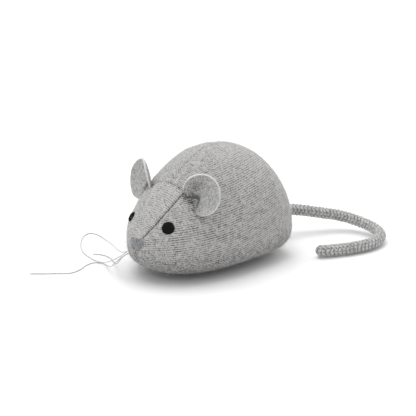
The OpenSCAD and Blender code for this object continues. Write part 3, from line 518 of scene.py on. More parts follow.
def side_of(y):
    """Half the body's width at y."""
    return HALF_WIDE * np.where(
        y < WIDEST_Y, fall((WIDEST_Y - y) / (WIDEST_Y - NOSE_Y), 2.8, 1.5),
        fall((y - WIDEST_Y) / (RUMP_Y - WIDEST_Y), RUMP_SQUARE, RUMP_SQUARE))


def crown_of(y):
    return np.where(
        y < HIGHEST_Y,
        NOSE_HIGH + (HIGH - NOSE_HIGH) * fall((HIGHEST_Y - y) / (HIGHEST_Y - NOSE_Y), 1.55, 1.05),
        RUMP_HIGH + (HIGH - RUMP_HIGH) * fall((y - HIGHEST_Y) / (RUMP_Y - HIGHEST_Y), 2.5, 2.5))


def belly_of(y):
    return np.where(
        y < WIDEST_Y,
        NOSE_HIGH - (NOSE_HIGH - LOW) * fall((WIDEST_Y - y) / (WIDEST_Y - NOSE_Y), 5, 2.2),
        RUMP_HIGH - (RUMP_HIGH - LOW) * fall((y - WIDEST_Y) / (RUMP_Y - WIDEST_Y), 4, 4))


def waist_of(y):
    """Height of the widest line of the body at y."""
    t = np.clip((WIDEST_Y - y) / (WIDEST_Y - NOSE_Y), 0, 1)
    return RUMP_HIGH + (NOSE_HIGH - RUMP_HIGH) * t**2


def skin(y, angle):
    """Points of the body's surface at y, angle degrees above the side."""
    y, angle = np.broadcast_arrays(np.asarray(y, float), np.asarray(angle, float))
    top = (angle > 0) & (angle < 180)
    n = np.where(top, ROUND_TOP, ROUND_BELLY)
    reach = np.where(top, crown_of(y) - waist_of(y), waist_of(y) - belly_of(y))
    c, s = np.cos(np.radians(angle)), np.sin(np.radians(angle))
    c, s = np.where(abs(c) < 1e-12, 0, c), np.where(abs(s) < 1e-12, 0, s)
    x = side_of(y) * np.sign(c) * abs(c) ** (2 / n)
    return np.stack([x, y, waist_of(y) + reach * np.sign(s) * abs(s) ** (2 / n)], -1)


def plate_half(y, grow):
    """Half the width of the base plate's opening at y."""
    behind = np.asarray(y, float) - PLATE_MIDDLE_Y
    return (PLATE_HALF + grow) * np.where(
        behind < 0, fall(-behind / (PLATE_FRONT + grow), 2.4, 2),
        fall(behind / (PLATE_REAR + grow), 3.5, 3.5))


def hem_angle(y):
    """Angle at which the cover meets the opening for the base plate."""
    half = plate_half(y, HEM_ROOM)
    share = np.clip(half / np.maximum(np.maximum(half, side_of(y)), 1e-9), 0, 1)
    return -np.degrees(np.arccos(share ** (ROUND_BELLY / 2)))


WAIST_POINTS, SECTION_POINTS = 4000, 700


def stations(first, last, step):
    """Values of y an equal step apart along the widest line of the body."""
    y = np.concatenate([
        NOSE_Y + (WIDEST_Y - NOSE_Y) * np.linspace(0, 1, WAIST_POINTS)[:-1] ** 2,
        WIDEST_Y + (RUMP_Y - WIDEST_Y)
        * np.sin(np.pi / 2 * (1 - np.linspace(1, 0, WAIST_POINTS) ** 2)) ** (2 / RUMP_SQUARE)])
    line = skin(y, 0.0)
    run = np.append(0, np.cumsum(np.linalg.norm(np.diff(line, axis=0), axis=1)))
    a, b = np.interp([first, last], y, run)
    n = max(2, int(round((b - a) / step)) + 1)
    stops = np.linspace(a, b, n)
    return np.interp(stops, run, y), stops


def section(y):
    """Angle and distance from the side, round the body's section at y."""
    t = np.linspace(0, 1, SECTION_POINTS)
    up = 180.0 * t
    down = -90.0 * (3 * t**2 - 2 * t**3)
    length = []
    for angle in (up, down):
        p = skin(y, angle)
        length.append(np.append(0, np.cumsum(np.linalg.norm(np.diff(p, axis=0), axis=1))))
    return np.concatenate([down[:0:-1], up]), np.concatenate([-length[1][:0:-1], length[0]])


print("waist length", round(stations(NOSE_Y, RUMP_Y, 0.5)[1][-1], 1), "mm")

# %% [markdown]
# ## The knit
# Jersey is columns of small V-shaped stitches. Seen across the columns, each
# stitch is a short slanting dash, with a dark hollow between it and the next.
# The stitches are in the mesh itself, on rows that run along the body, and
# they are strongest on the flank, where the cover is stretched least.

# %% Stitch relief
ROW, STITCH, RELIEF, SLANT = 1.05, 1.45, 0.36, 0.42
chance = np.random.default_rng(7)
STITCH_TONE = chance.uniform(-1, 1, (512, 512))


def stitches(along, across, row, stitch):
    """Height from 0 to 1 of the knit, and a tone for each stitch."""
    v = across / row
    j = np.floor(v).astype(int)
    fv = v - j
    tilt = np.where(j % 2 == 0, SLANT, -SLANT)
    u = along / stitch + tilt * (fv - 0.5) + 0.21 * STITCH_TONE[j % 512, 3]
    i = np.floor(u).astype(int)
    fu = u - i
    tone = STITCH_TONE[j % 512, i % 512]
    between = 1 - np.sin(np.pi * fv) ** 0.7
    end = 1 - np.sin(np.pi * fu) ** 0.5
    hollow = between * (0.5 + 0.5 * np.sin(np.pi * fu)) * (1 + 0.6 * tone)
    hollow = hollow + 0.5 * end * (1 - between)
    return np.clip(1 - hollow, 0, 1.1), tone


def waves(p, size, seed):
    """A slow uneven swell, from about -1 to 1."""
    rough = np.random.default_rng(seed)
    total = 0
    for _ in range(7):
        k = rough.normal(size=3)
        k *= 2 * np.pi / size / np.linalg.norm(k) * rough.uniform(0.6, 1.6)
        total = total + np.sin(p @ k + rough.uniform(0, 7))
    return total / 3.2


def bell(x, width):
    """1 at zero, falling off smoothly over the width."""
    return np.exp(-((x / width) ** 2))


SEAM_STITCH, CONTRAST, LEAN = 2.3, 2.1, 0.17
EAR_ROOTS = np.array([
    [10.9, -20.6, 39.9], [14.5, -20.2, 38.0], [17.6, -20.1, 35.2], [19.5, -19.8, 33.2]])


def relief_strength(p):
    """How clearly the knit shows at each point."""
    y, z = p[..., 1], p[..., 2]
    flank = bell(z - 25, 17) * np.where(y < 4, bell(y - 4, 44), bell(y - 4, 34))
    return 0.58 + 0.42 * np.clip(flank * 1.15, 0, 1)


# %% Lay out a panel
def panel_grid(ys, runs, across, low_of, high_of, lean):
    """Where each row lies at each station: its place, angle and distance, and both edges."""
    shape = len(ys), len(across)
    place, angle, arc = np.zeros((*shape, 3)), np.zeros(shape), np.zeros(shape)
    low, high = np.zeros(len(ys)), np.zeros(len(ys))
    for i, y in enumerate(ys):
        theta, length = section(y)
        low[i], high[i] = np.interp([low_of(y), high_of(y)], theta, length)
        arc[i] = np.clip(across + lean * runs[i], low[i], high[i])
        angle[i] = np.interp(arc[i], length, theta)
        place[i] = skin(y, angle[i])
    return place, angle, arc, low, high


def grid_outwards(y_grid, angle):
    """The way out of the body at each point of the grid."""
    order = np.arange(len(y_grid))
    before, after = np.clip(order - 1, 0, order[-1]), np.clip(order + 1, 0, order[-1])
    along = skin(y_grid[after], angle) - skin(y_grid[before], angle)
    round_it = skin(y_grid, angle + 0.6) - skin(y_grid, angle - 0.6)
    normal = np.cross(along, round_it)
    return normal / np.maximum(np.linalg.norm(normal, axis=-1), 1e-12)[..., None]


def panel_faces(runs, across, low, high, lean):
    """Faces of the grid, without those that lie wholly past an edge of the panel."""
    rows, faces = len(across), []
    for i in range(len(runs) - 1):
        lowest, highest = min(low[i], low[i + 1]), max(high[i], high[i + 1])
        shift = lean * runs[i], lean * runs[i + 1]
        for k in range(rows - 1):
            if across[k + 1] + max(shift) > lowest and across[k] + min(shift) < highest:
                n = i * rows + k
                faces.append((n, n + rows, n + rows + 1, n + 1))
    return faces


def knit_sheet(name, ys, runs, across, low_of, high_of, side, pinches,
               relief=RELIEF, crosswise=False, row=ROW, stitch=STITCH, lean=0.0):
    """One panel: a grid of stations along the body and rows round it."""
    place, angle, arc, low, high = panel_grid(ys, runs, across, low_of, high_of, lean)
    y_grid, run = (np.repeat(v[:, None], len(across), 1) for v in (ys, runs))
    normal = grid_outwards(y_grid, angle)
    # the start values keep the counts of rows and stitches above zero
    if crosswise:
        height, tone = stitches(arc + 300, run, row, stitch)
        strength = np.full_like(arc, 0.55)
    else:
        height, tone = stitches(run, arc - lean * run + 80 * row, row, stitch)
        strength = relief_strength(place)
    push = relief * strength * (height - 0.35) + 0.10 * waves(place, 11, 3)
    shade_in = np.zeros_like(arc)
    for distance, depth in pinches(y_grid, arc, low[:, None], high[:, None], run):
        tug = 1 + 0.3 * np.cos(2 * np.pi * (run + arc * 0.3) / SEAM_STITCH)
        push += depth * (-bell(distance, 0.55) * tug + 0.10 * bell(distance - 1.8, 1.1))
        push -= 0.2 * (depth > 0.3) * bell(distance, 0.22)
        # painted shade: the colour is darkened in the grooves of the seams and the hem, where
        # shade falls
        shade_in = np.maximum(shade_in, depth * bell(distance, 0.34))
    root = np.min([np.linalg.norm(place - r, axis=-1) for r in EAR_ROOTS], axis=0)
    push -= 0.45 * bell(root, 1.6)
    place = place + normal * push[..., None]
    if not crosswise:
        place[..., 0] = np.maximum(place[..., 0], 0.02)
    # painted shade: the colour darkens towards the bottom of the body, under the belly
    under = np.clip((17 - place[..., 2]) / 15, 0, 1)
    # painted shade: the colour is darker in the hollows between stitches and lighter on their
    # crests
    lit_share = 0.70 + strength * (height - 0.66) * CONTRAST
    # painted shade: the colour is also darkened round the roots of the ears, in the pocket under
    # each ear
    lit_share = lit_share - 0.9 * shade_in - 0.6 * bell(root, 1.8) - 0.55 * under
    faces = panel_faces(runs, across, low, high, lean)
    if side < 0:
        faces = [f[::-1] for f in faces]
    place = place * [side, 1, 1]
    piece = mesh_piece(name, place.reshape(-1, 3), faces, {"lit_share": lit_share, "tone": tone})
    merge_points(piece, 0.004 * MM)
    return piece


# %% Openings for the tail and the key
# the middle of each, the directions that it opens over, and its radius
OPENINGS = {
    "tail": ((0.0, 42.0, 13.5), (1, 0, 1), 4.45),
    "key": ((-28.5, 17.0, 19.5157), (0, 1, 1), 4.05),
}
OPENING_NEAR = 9.0


def inside_round(points, name):
    """Which points lie in a round opening, and where its edge is for each of them."""
    middle, across, radius = OPENINGS[name]
    gap = points - np.array(middle)
    flat = gap * across
    reach = np.linalg.norm(flat, axis=1)
    inner = (reach < radius) & (np.linalg.norm(gap, axis=1) < OPENING_NEAR)
    edge = points + flat * (radius / np.maximum(reach, 1e-6) - 1)[:, None]
    return inner, edge


def vertex_places(piece):
    """The piece's points in millimetres."""
    flat = np.zeros(len(piece.data.vertices) * 3)
    piece.data.vertices.foreach_get("co", flat)
    return flat.reshape(-1, 3) / MM


def clear_round(piece, name):
    """Draws every point that lies in the opening out to its edge."""
    points = vertex_places(piece)
    inner, edge = inside_round(points, name)
    points[inner] = edge[inner]
    piece.data.vertices.foreach_set("co", (points * MM).ravel())
    piece.data.update()


def cut_round(piece, name):
    """Opens a round hole: the faces inside it go, and the points left over meet its edge."""
    inner, _ = inside_round(vertex_places(piece), name)
    shape = bmesh.new()
    shape.from_mesh(piece.data)
    gone = [f for f in shape.faces if all(inner[v.index] for v in f.verts)]
    bmesh.ops.delete(shape, geom=gone, context="FACES")
    bmesh.ops.delete(shape, geom=[v for v in shape.verts if not v.link_faces], context="VERTS")
    shape.to_mesh(piece.data)
    shape.free()
    clear_round(piece, name)


# %% [markdown]
# ## Side panels
# Each side of the mouse is one cut of jersey from the nose to the rump. It is
# sewn to the forehead in front, to its twin over the back, and under the chin,
# and its hem turns in round the base plate. The sheet is laid out row by row,
# then given the thickness of the cloth.

# %% Cut and fit the side panels
CLOTH, STATION_STEP, CHEEK_Y = 1.2, 0.48, -27.8


def finish_panel(panel, node, finish, holes=()):
    """Gives a sheet the thickness of the cloth and its place on the toy."""
    thick = panel.modifiers.new("cloth", "SOLIDIFY")
    thick.thickness, thick.offset = CLOTH * MM, -1
    apply_modifiers(panel)
    for hole in holes:
        clear_round(panel, hole)
    give(panel, finish)
    settle(panel, "knit", node)
    return panel


def side_panel(name, node, side, holes):
    """One side of the cover, knitted in front and behind the ear seam and then joined."""
    front, run_front = stations(NOSE_Y + 0.02, HEAD_SEAM_Y, STATION_STEP)
    rear, run_rear = stations(HEAD_SEAM_Y, RUMP_Y - 1e-7, STATION_STEP)
    across = np.arange(-int(56 / (ROW / 4)), int(62 / (ROW / 4))) * ROW / 4 + ROW / 8

    # each pinch is the distance from a seam or hem, and how deep it pulls the cloth
    def front_pinches(y, arc, low, high, run):
        return [(high - arc, 0.45 if side > 0 else 0.05),
                (np.where(y < CHEEK_Y, arc - low, 9), 0.3),
                (np.where(y >= CHEEK_Y, (arc - low) * 1.4, 9), 0.6)]

    def rear_pinches(y, arc, low, high, run):
        corner = np.interp(FOREHEAD_ANGLE, *section(HEAD_SEAM_Y))
        cross = np.where(arc > corner - 0.5, run - run_rear[0], 9)
        return [(high - arc, 0.20 - 0.10 * np.clip((y - 5) / 20, 0, 1)),
                ((arc - low) * 1.4, 0.5), (cross, 0.20)]

    panel = knit_sheet(name, front, run_front, across, hem_angle,
                       lambda y: FOREHEAD_ANGLE, side, front_pinches, lean=LEAN)
    behind = knit_sheet(name + "_rear", rear, run_rear, across, hem_angle,
                        lambda y: 90.0, side, rear_pinches, lean=LEAN)
    only(panel)
    behind.select_set(True)
    bpy.ops.object.join()
    merge_points(panel, 0.02 * MM)
    for hole in holes:
        cut_round(panel, hole)
    return finish_panel(panel, node, JERSEY, holes)


left_panel = side_panel("left_flank", "left_side_panel", 1, ["tail"])
right_panel = side_panel("right_flank", "right_side_panel", -1, ["tail", "key"])

# %% [markdown]
# ## Forehead
# The forehead is a narrow wedge let in between the sides, from the nose to the
# seam in front of the ears. It is cut from a finer jersey, and its stitches
# run across the head, so it is laid out with the rows turned.

# %% Forehead panel
FINE_ROW, FINE_STITCH, FINE_RELIEF = 0.90, 1.26, 0.26
FINE_STATION, FINE_ACROSS = 0.225, 0.315


def forehead():
    ys, runs = stations(NOSE_Y + 0.02, HEAD_SEAM_Y - 0.03, FINE_STATION)
    across = np.arange(0, int(110 / FINE_ACROSS)) * FINE_ACROSS

    def edge_angle(y):
        return FOREHEAD_ANGLE + 0.1 + 2 / (4 + (y - NOSE_Y))

    def pinches(y, arc, low, high, run):
        return [(arc - low, 0.45), (high - arc, 0.05), (runs[-1] - run, 0.20)]

    panel = knit_sheet("forehead", ys, runs, across, edge_angle, lambda y: 180 - edge_angle(y),
                       1, pinches, relief=FINE_RELIEF, crosswise=True,
                       row=FINE_ROW, stitch=FINE_STITCH)
    return finish_panel(panel, "forehead_panel", JERSEY_FINE)


forehead_cloth = forehead()

# %% [markdown]
# ## Stitches along the seams
# The seams are backstitched in a darker sewing thread, pulled down into the
# cloth, so only a short dash of each stitch shows. One stitch is shaped and
# then set down again and again at an equal step along the forehead seams, the
# back seam and the seam in front of the ears; the chin seam has no stitches.

# %% Lay the stitches
def one_stitch(length, wide):
    """A short rounded dash of thread along X, at the world origin."""
    only(camera)
    bpy.ops.mesh.primitive_uv_sphere_add(segments=8, ring_count=6, radius=0.5 * MM)
    dash = bpy.context.active_object
    bpy.ops.object.mode_set(mode="EDIT")
    bpy.ops.mesh.select_all(action="SELECT")
    bpy.ops.transform.resize(value=(length, wide, wide))
    bpy.ops.object.mode_set(mode="OBJECT")
    return dash


def lay_stitches(name, dash, places):
    """Copies of the dash, each at a point, along a direction, in one piece."""
    whole = bmesh.new()
    for point, along, up in places:
        along, up = Vector(along).normalized(), Vector(up).normalized()
        side = up.cross(along).normalized()
        turned = Matrix((along, side, along.cross(side))).transposed().to_4x4()
        turned.translation = Vector((np.array(point) * MM).tolist())
        first = len(whole.verts)
        whole.from_mesh(dash.data)
        whole.verts.ensure_lookup_table()
        bmesh.ops.transform(whole, matrix=turned, verts=whole.verts[first:])
    data = bpy.data.meshes.new(name)
    whole.to_mesh(data)
    whole.free()
    piece = bpy.data.objects.new(name, data)
    bpy.context.scene.collection.objects.link(piece)
    give(piece, SEAM)
    return piece


def outward(y, angle):
    """The way straight out of the body at a point of its surface."""
    seat = skin(y, angle)
    out = np.cross(skin(y, angle + 0.5) - seat, skin(y + 0.05, angle) - seat)
    return out * (np.sign(out @ (seat - np.array([0, y, 20])) or 1) / np.linalg.norm(out))


def seam_places(ys, angles, depth):
    """Stitch places along a seam given by stations and angles on the body."""
    line = smooth_line(skin(ys, angles), SEAM_STITCH)
    middles, ways = (line[:-1] + line[1:]) / 2, np.diff(line, axis=0)
    if abs(ys[-1] - ys[0]) > 0.5:
        angle = np.interp(line[:, 1], ys, angles)
        turns = (angle[:-1] + angle[1:]) / 2
    else:
        # a seam that runs round the body at one station
        y = line[0, 1]
        rise = (middles[:, 2] - waist_of(y)) / (crown_of(y) - waist_of(y))
        turns = np.degrees(np.arctan2(rise, middles[:, 0] / side_of(y)))
    places = []
    for middle, way, turn in zip(middles, ways, turns):
        up = outward(middle[1], turn)
        places.append((skin(middle[1], turn) - up * depth, way + SKEW * np.cross(up, way), up))
    return places


SKEW = 0.18
SHALLOW, DEEP = 0.26, 0.42
dash = one_stitch(length=1.35, wide=0.34)
head_ys = np.linspace(NOSE_Y + 1.2, HEAD_SEAM_Y, 60)
back_ys = np.linspace(HEAD_SEAM_Y, RUMP_Y - 0.4, 160)
round_head = np.linspace(FOREHEAD_ANGLE - 14, 180 - FOREHEAD_ANGLE + 14, 60)
places = seam_places(head_ys, np.full(60, FOREHEAD_ANGLE), SHALLOW)
places += seam_places(head_ys, np.full(60, 180 - FOREHEAD_ANGLE), DEEP)
places += seam_places(back_ys, np.full(160, 90.0), DEEP)
places += seam_places(np.full(60, HEAD_SEAM_Y), round_head, SHALLOW)
seams = lay_stitches("seam_stitches", dash, places)
bpy.data.objects.remove(dash)
settle(seams, "seam_thread", "forehead_seam_left", "forehead_seam_right", "cross_seam",
       "back_seam", "chin_seam")
print("stitches", len(places), "with", triangles(seams), "triangles")

# %% [markdown]
# ## Nose
# The nose is a small patch of satin stitch in a blue-grey thread: level rows
# laid side by side over the tip of the muzzle, widest at the top. Each row is
# a thread that lies on the cloth, so its points are found by looking for the
# cover from in front.

# %% Satin stitch nose
def cover_tree():
    """The three panels as one surface to look for."""
    whole = bmesh.new()
    for piece in (left_panel, right_panel, forehead_cloth):
        whole.from_mesh(piece.data)
    tree = BVHTree.FromBMesh(whole)
    whole.free()
    return tree


COVER = cover_tree()
NOSE_ROWS, NOSE_STEP, NOSE_MIDDLE, NOSE_HALF = 12, 0.47, 18.7, 4.6
NOSE_THREAD, ROW_POINTS, IN_FRONT = 0.30, 14, -60


def nose_row(k):
    """One level row of thread; the top one is shorter and the lower ones draw in."""
    z = NOSE_MIDDLE + (NOSE_ROWS / 2 - k) * NOSE_STEP
    fullness = math.sqrt(max(0.02, 1 - (k / (NOSE_ROWS - 0.4)) ** 1.8))
    half = NOSE_HALF * fullness * (0.82 if k == 0 else 1) + 0.25 * STITCH_TONE[k, 9]
    line = []
    for x in np.linspace(-half, half, ROW_POINTS):
        start = Vector((x, IN_FRONT, z + 0.06 * x * STITCH_TONE[k, 5])) * MM
        hit = COVER.ray_cast(start, Vector((0, 1, 0)))[0]
        if hit is not None:
            lift = 0.22 * (1 - (x / half) ** 6) - 0.12
            line.append(np.array(hit) / MM + [0, -lift, 0])
    return tube(f"nose_row_{k}", np.array(line),
                lambda run, turn: np.full((run.size, turn.size), NOSE_THREAD), 8)


rows = [nose_row(k) for k in range(NOSE_ROWS)]
nose = only(rows[0])
for row in rows:
    row.select_set(True)
bpy.ops.object.join()
nose.name = "nose_stitches"
give(nose, NOSE_FELT)
settle(nose, "nose_felt", "nose_patch")
print("nose rows", NOSE_ROWS, "with", triangles(nose), "triangles")

# %% [markdown]
# ## Eyes
# The eyes are little domes of black felt with a slightly ragged cut edge. A
# sphere is pressed flat and roughened, then set on the cover so that it looks
# straight out of the head.

# %% Felt eyes
EYE_Y, EYE_FLAT = NOSE_Y + 9.8, 0.42
# for each, the node, the side, the angle round the head and the width
EYES = {"left_eye": ("eye_left", 1, 44.0, 5.9), "right_eye": ("eye_right", -1, 40.0, 4.9)}


def eye(name, node, side, angle, wide):
    """A dome of felt seated on the cover."""
    seat, out = skin(EYE_Y, angle), outward(EYE_Y, angle)
    only(camera)
    bpy.ops.mesh.primitive_uv_sphere_add(segments=40, ring_count=20, radius=wide / 2 * MM)
    piece = bpy.context.active_object
    piece.name = name
    bpy.ops.object.mode_set(mode="EDIT")
    bpy.ops.mesh.select_all(action="SELECT")
    bpy.ops.transform.resize(value=(1, 1, EYE_FLAT))
    bpy.ops.object.mode_set(mode="OBJECT")
    ragged = bpy.data.textures.new(name + "_edge", "CLOUDS")
    ragged.noise_scale = 0.0009
    uneven = piece.modifiers.new("uneven", "DISPLACE")
    uneven.texture, uneven.strength, uneven.mid_level = ragged, 0.0004, 0.5
    apply_modifiers(piece)
    turned = Vector(out * [side, 1, 1]).to_track_quat("Z", "Y").to_matrix().to_4x4()
    turned.translation = Vector((((seat + out * 0.15) * [side, 1, 1]) * MM).tolist())
    piece.data.transform(turned)
    give(piece, EYE_FELT)
    settle(piece, "eye_felt", node)
    return piece


eyes = [eye(name, *made) for name, made in EYES.items()]
print("eyes", [triangles(e) for e in eyes])

# %% [markdown]
# ## Ears
# Each ear is a disc of wool felt, cupped forwards, with its inner lobe rolled
# to the front and the foot pinched where it is caught into the seam. The cut
# edge of the felt is given a paler colour than its face, a painted highlight
# where its thickness catches the light, and the fold of the pleat is darkened
# with painted shade.

# %% Shape of an ear
EAR_WIDE, EAR_THICK, EAR_EDGE = 19.5, 1.0, 0.28
EAR_RINGS, EAR_AROUND = 30, 96
EAR_CUP, EAR_PLEAT, EAR_ROLL, EAR_BACK = 1.4, 5.0, 3.8, 0.9
LOBE_TURN, LOBE_WIDE = 82, 52


def ear_disc():
    """The bent disc from its foot up, the painted shade of its fold at each point, and its faces.
    """
    radius = EAR_WIDE / 2
    rho = radius * np.sin(np.linspace(0.0, np.pi / 2, EAR_RINGS + 1))[1:]
    # degrees round the disc from the foot, the inner lobe being below zero
    turn = 360 * (np.arange(EAR_AROUND) + 0.5) / EAR_AROUND - 180
    rho, turn = (g.ravel() for g in np.meshgrid(rho, turn, indexing="ij"))
    rho, turn = np.append(rho, 0.0), np.append(turn, 180.0)
    far = rho / radius
    pleat = bell(turn, 21) * np.clip((far - 0.22) / 0.78, 0, 1) ** 1.2
    inner = np.where(turn < 0, bell(turn + LOBE_TURN, LOBE_WIDE), 0)
    depth = EAR_CUP * far**2 - EAR_PLEAT * pleat + EAR_ROLL * inner * far**2.6
    depth = depth + EAR_BACK * bell(turn - 62, 34) * far**2
    closer = np.radians(turn * (1 - 0.24 * bell(turn, 52)))
    short = rho * (1 - 0.24 * bell(turn, 24) * far**2) * (1 - 0.10 * inner * far**2)
    bent = np.stack([-short * np.cos(closer) + radius, short * np.sin(closer), depth], -1)
    # painted shade: the fold of the pleat and of the inner lobe is darkened in colour, where
    # shade falls
    crease_shade = bell(turn + 2, 27) * np.clip((far - 0.18) / 0.4, 0, 1)
    crease_shade = crease_shade + 0.12 * inner * bell(far - 0.55, 0.3)
    faces = band_faces(EAR_RINGS, EAR_AROUND)
    middle = EAR_RINGS * EAR_AROUND
    faces += [(middle, (j + 1) % EAR_AROUND, j) for j in range(EAR_AROUND)]
    return bent, crease_shade, faces


# %% Cup, roll and sew on the ears
EAR_MIDDLE = {1: np.array([19.60, -17.00, 42.01]), -1: np.array([19.60, -17.00, 39.91])}
EAR_LEAN, EAR_TURN, EAR_FOOT_TURN = (math.radians(a) for a in (79, 9, 11))
EAR_UP = np.array([0.5706, 0.2447, 0.7840])
EAR_FACE = np.array([math.sin(EAR_LEAN) * math.sin(EAR_TURN),
                     -math.sin(EAR_LEAN) * math.cos(EAR_TURN), math.cos(EAR_LEAN)])
EAR_OUT = np.cross(EAR_UP, EAR_FACE)


def ear(name, node, side):
    """A felt disc, bent, set in the seam, and given its thickness and a soft edge."""
    bent, crease_shade, faces = ear_disc()
    first = math.cos(EAR_FOOT_TURN) * EAR_UP + math.sin(EAR_FOOT_TURN) * EAR_OUT
    second = math.cos(EAR_FOOT_TURN) * EAR_OUT - math.sin(EAR_FOOT_TURN) * EAR_UP
    foot = EAR_MIDDLE[side] - EAR_WIDE / 2 * 0.97 * first + 0.3 * EAR_FACE
    place = foot + bent[:, :1] * first + bent[:, 1:2] * second + bent[:, 2:] * EAR_FACE
    place = (place + 0.12 * waves(place, 5, 11)[:, None] * EAR_FACE) * [side, 1, 1]
    if side < 0:
        faces = [f[::-1] for f in faces]
    piece = mesh_piece(name, place, faces, {"lit_share": 0.68 - 2.3 * crease_shade, "tone": 0 * crease_shade})
    area = sum(f.area for f in piece.data.polygons)
    if piece.data.polygons[-1].normal.dot(Vector(EAR_FACE * [side, 1, 1])) < 0:
        piece.data.flip_normals()
    give(piece, FELT, FELT_EDGE_HIGHLIGHT)
    thick = piece.modifiers.new("felt", "SOLIDIFY")
    thick.thickness, thick.offset, thick.material_offset_rim = EAR_THICK * MM, 0, 1
    apply_modifiers(piece)
    soft = piece.modifiers.new("rounded", "BEVEL")
    soft.width, soft.segments, soft.material = EAR_EDGE * MM, 2, 1
    soft.limit_method, soft.angle_limit = "ANGLE", math.radians(50)
    apply_modifiers(piece)
    settle(piece, "felt", node)
    print(name, "area", round(area * 1e6), "mm2,", triangles(piece), "triangles")
    return piece


left_ear = ear("left_ear", "ear_left", 1)
right_ear = ear("right_ear", "ear_right", -1)

# %% [markdown]
# ## Tail
# The tail is a narrow tube of jersey drawn over a soft wire, so it keeps its
# curl. It is a tube whose radius rises and falls with the stitches, in wales
# that run along it, and it closes over the end of the wire.

# %% Tail
TAIL_WIDE, TAIL_STEP, TAIL_AROUND = 5.8, 0.33, 40
TAIL_PITCH, TAIL_WALES, TAIL_SLANT, TAIL_CAP = 1.95, 5, 0.34, 2.6


def tail_knit(run, turn):
    """How high a point lies on its stitch, across the wale and along it."""
    v = turn * TAIL_WALES * 2
    j = np.floor(v).astype(int)
    tilt = np.where(j % 2 == 0, 1, -1) * TAIL_SLANT
    u = run / TAIL_PITCH + tilt * (v - j - 0.5) + 0.22 * STITCH_TONE[j % 512, 21]
    i = np.floor(u).astype(int)
    tone = STITCH_TONE[(j + 40) % 512, i % 512]
    return np.sin(np.pi * (v - j)) ** 0.6, np.sin(np.pi * (u - i)) ** 0.8 * (1 + 0.22 * tone)


def make_tail():
    line = smooth_line(TAIL_LINE, TAIL_STEP)
    length = line_length(line)

    def radius_of(run, turn):
        across, along = tail_knit(run, turn)
        past = np.clip((run - (length - TAIL_CAP)) / (TAIL_CAP + 0.02), 0, 1)
        cap = np.sqrt(np.clip(1 - past**2, 0.0004, 1))
        return (TAIL_WIDE / 2 - 0.58 + 0.54 * along * (0.65 + 0.35 * across)) * cap

    def values_of(run, turn):
        across, along = tail_knit(run, turn)
        # painted shade: the hollows between the tail's stitches are darker in colour
        lit_share = 0.12 + 0.80 * along * (0.6 + 0.4 * across)
        return {"lit_share": lit_share, "tone": 0 * lit_share}

    piece = tube("tail", line, radius_of, TAIL_AROUND, values_of)
    give(piece, TAIL)
    settle(piece, "tail_knit", "tail_cord", body="tail")
    print("tail", round(length, 1), "mm,", triangles(piece), "triangles")
    return piece


tail = make_tail()

# %% [markdown]
# ## Muzzle threads
# The threads are limp and very thin: one comes back to the muzzle as a loop,
# and two end on the floor. The radius swells a little as it goes round and
# along, which is the twist of the thread.

# %% Threads
THREAD_STEP, THREAD_TWIST = 0.6, 0.9


def twisted(run, turn):
    return THREAD_WIDE / 2 * (1 - 0.10 * np.cos(2 * np.pi * (run / THREAD_TWIST + turn * 2)))


def thread(name):
    line = smooth_line(THREAD_LINES[name], THREAD_STEP)
    piece = tube(name + "_thread", line, twisted, 8)
    give(piece, THREAD)
    settle(piece, "whisker_thread", name)
    return piece


threads = [thread(name) for name in THREAD_LINES]

# %% [markdown]
# ## Loose fibres
# Wool sheds short curved hairs all over the cover, and they soften its outline
# against the light. Each hair is a thin tapering ribbon that starts on the
# cloth, leans along it and lifts at the tip.

# %% Loose fibres on the cover
HAIR = woollen("loose_fibre", grey(0.62, 0.01), grey(0.35, 0.02),
               mottle=0.8, high=0.7, depth=0.00001)
HAIRS, HAIR_HALF, HAIR_STOPS = 9000, 0.055, (0.0, 0.4, 0.75, 1.0)
BARE_SPOTS = [(np.array(OPENINGS["tail"][0]), 8.0)]
BARE_SPOTS += [(skin(EYE_Y, angle) * [side, 1, 1], 5.2) for _, side, angle, _ in EYES.values()]


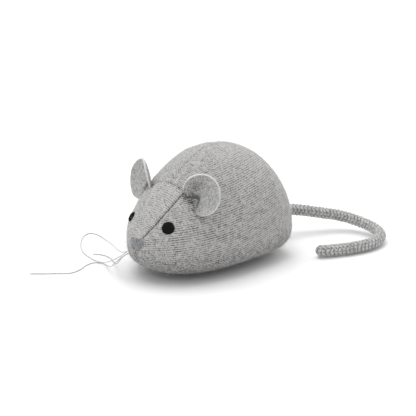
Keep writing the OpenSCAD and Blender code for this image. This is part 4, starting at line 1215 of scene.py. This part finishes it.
def outer_faces(piece):
    """Middle, outward way and area of the faces that hairs may grow from."""
    n = len(piece.data.polygons)
    middle, out, size = np.zeros(n * 3), np.zeros(n * 3), np.zeros(n)
    piece.data.polygons.foreach_get("center", middle)
    piece.data.polygons.foreach_get("normal", out)
    piece.data.polygons.foreach_get("area", size)
    middle, out = middle.reshape(-1, 3) / MM, out.reshape(-1, 3)
    outer = np.einsum("ij,ij->i", out, middle - [0, 0, 22]) > 0
    for bare, reach in BARE_SPOTS:
        outer &= np.linalg.norm(middle - bare, axis=1) > reach
    return middle[outer], out[outer], size[outer]


def fuzz(name, pieces, count):
    """Thin tapering ribbons that start on the cloth and lift at the tip."""
    rough = np.random.default_rng(5)
    roots, outs, areas = (np.concatenate(v) for v in zip(*map(outer_faces, pieces)))
    pick = rough.choice(len(roots), count, p=areas / areas.sum())
    root, out = roots[pick], outs[pick]
    lean = rough.normal(size=(count, 3))
    lean -= np.einsum("ij,ij->i", lean, out)[:, None] * out
    lean /= np.linalg.norm(lean, axis=1)[:, None]
    long = rough.uniform(0.8, 2.7, count)[:, None]
    lift = rough.uniform(0.25, 0.9, count)[:, None]
    turn = np.cross(out, lean) * rough.normal(0, 0.35, count)[:, None]
    across = np.cross(lean, out)
    points = []
    for t in HAIR_STOPS:
        spot = root + long * (t * lean + t**2 * turn + (lift * t**1.5 - 0.05) * out)
        half = HAIR_HALF * (1 - 0.7 * t)
        points += [spot - half * across, spot + half * across]
    faces = [(a + k, a + k + 1, a + k + 3, a + k + 2)
             for a in range(0, count * len(points), len(points)) for k in (0, 2, 4)]
    piece = mesh_piece(name, np.stack(points, 1).reshape(-1, 3), faces)
    give(piece, HAIR)
    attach(piece, "body")
    print(name, count, "hairs,", triangles(piece), "triangles")
    return piece


hairs = fuzz("loose_fibres", (left_panel, right_panel, forehead_cloth), HAIRS)

# %% [markdown]
# ## Floor
# A plain pale sheet under the toy takes the soft shadows. It is only there to
# show the toy.

# %% The floor
only(camera)
bpy.ops.mesh.primitive_plane_add(size=6)
floor = bpy.context.active_object
floor.name = "floor"
paper, paper_tree, paper_shader = finish_shell("pale_floor")
fill(paper_tree, paper_shader, {
    "Base Color": (0.88, 0.88, 0.88, 1), "Roughness": 0.8, "Specular IOR Level": 0.2})
floor.data.materials.append(paper)
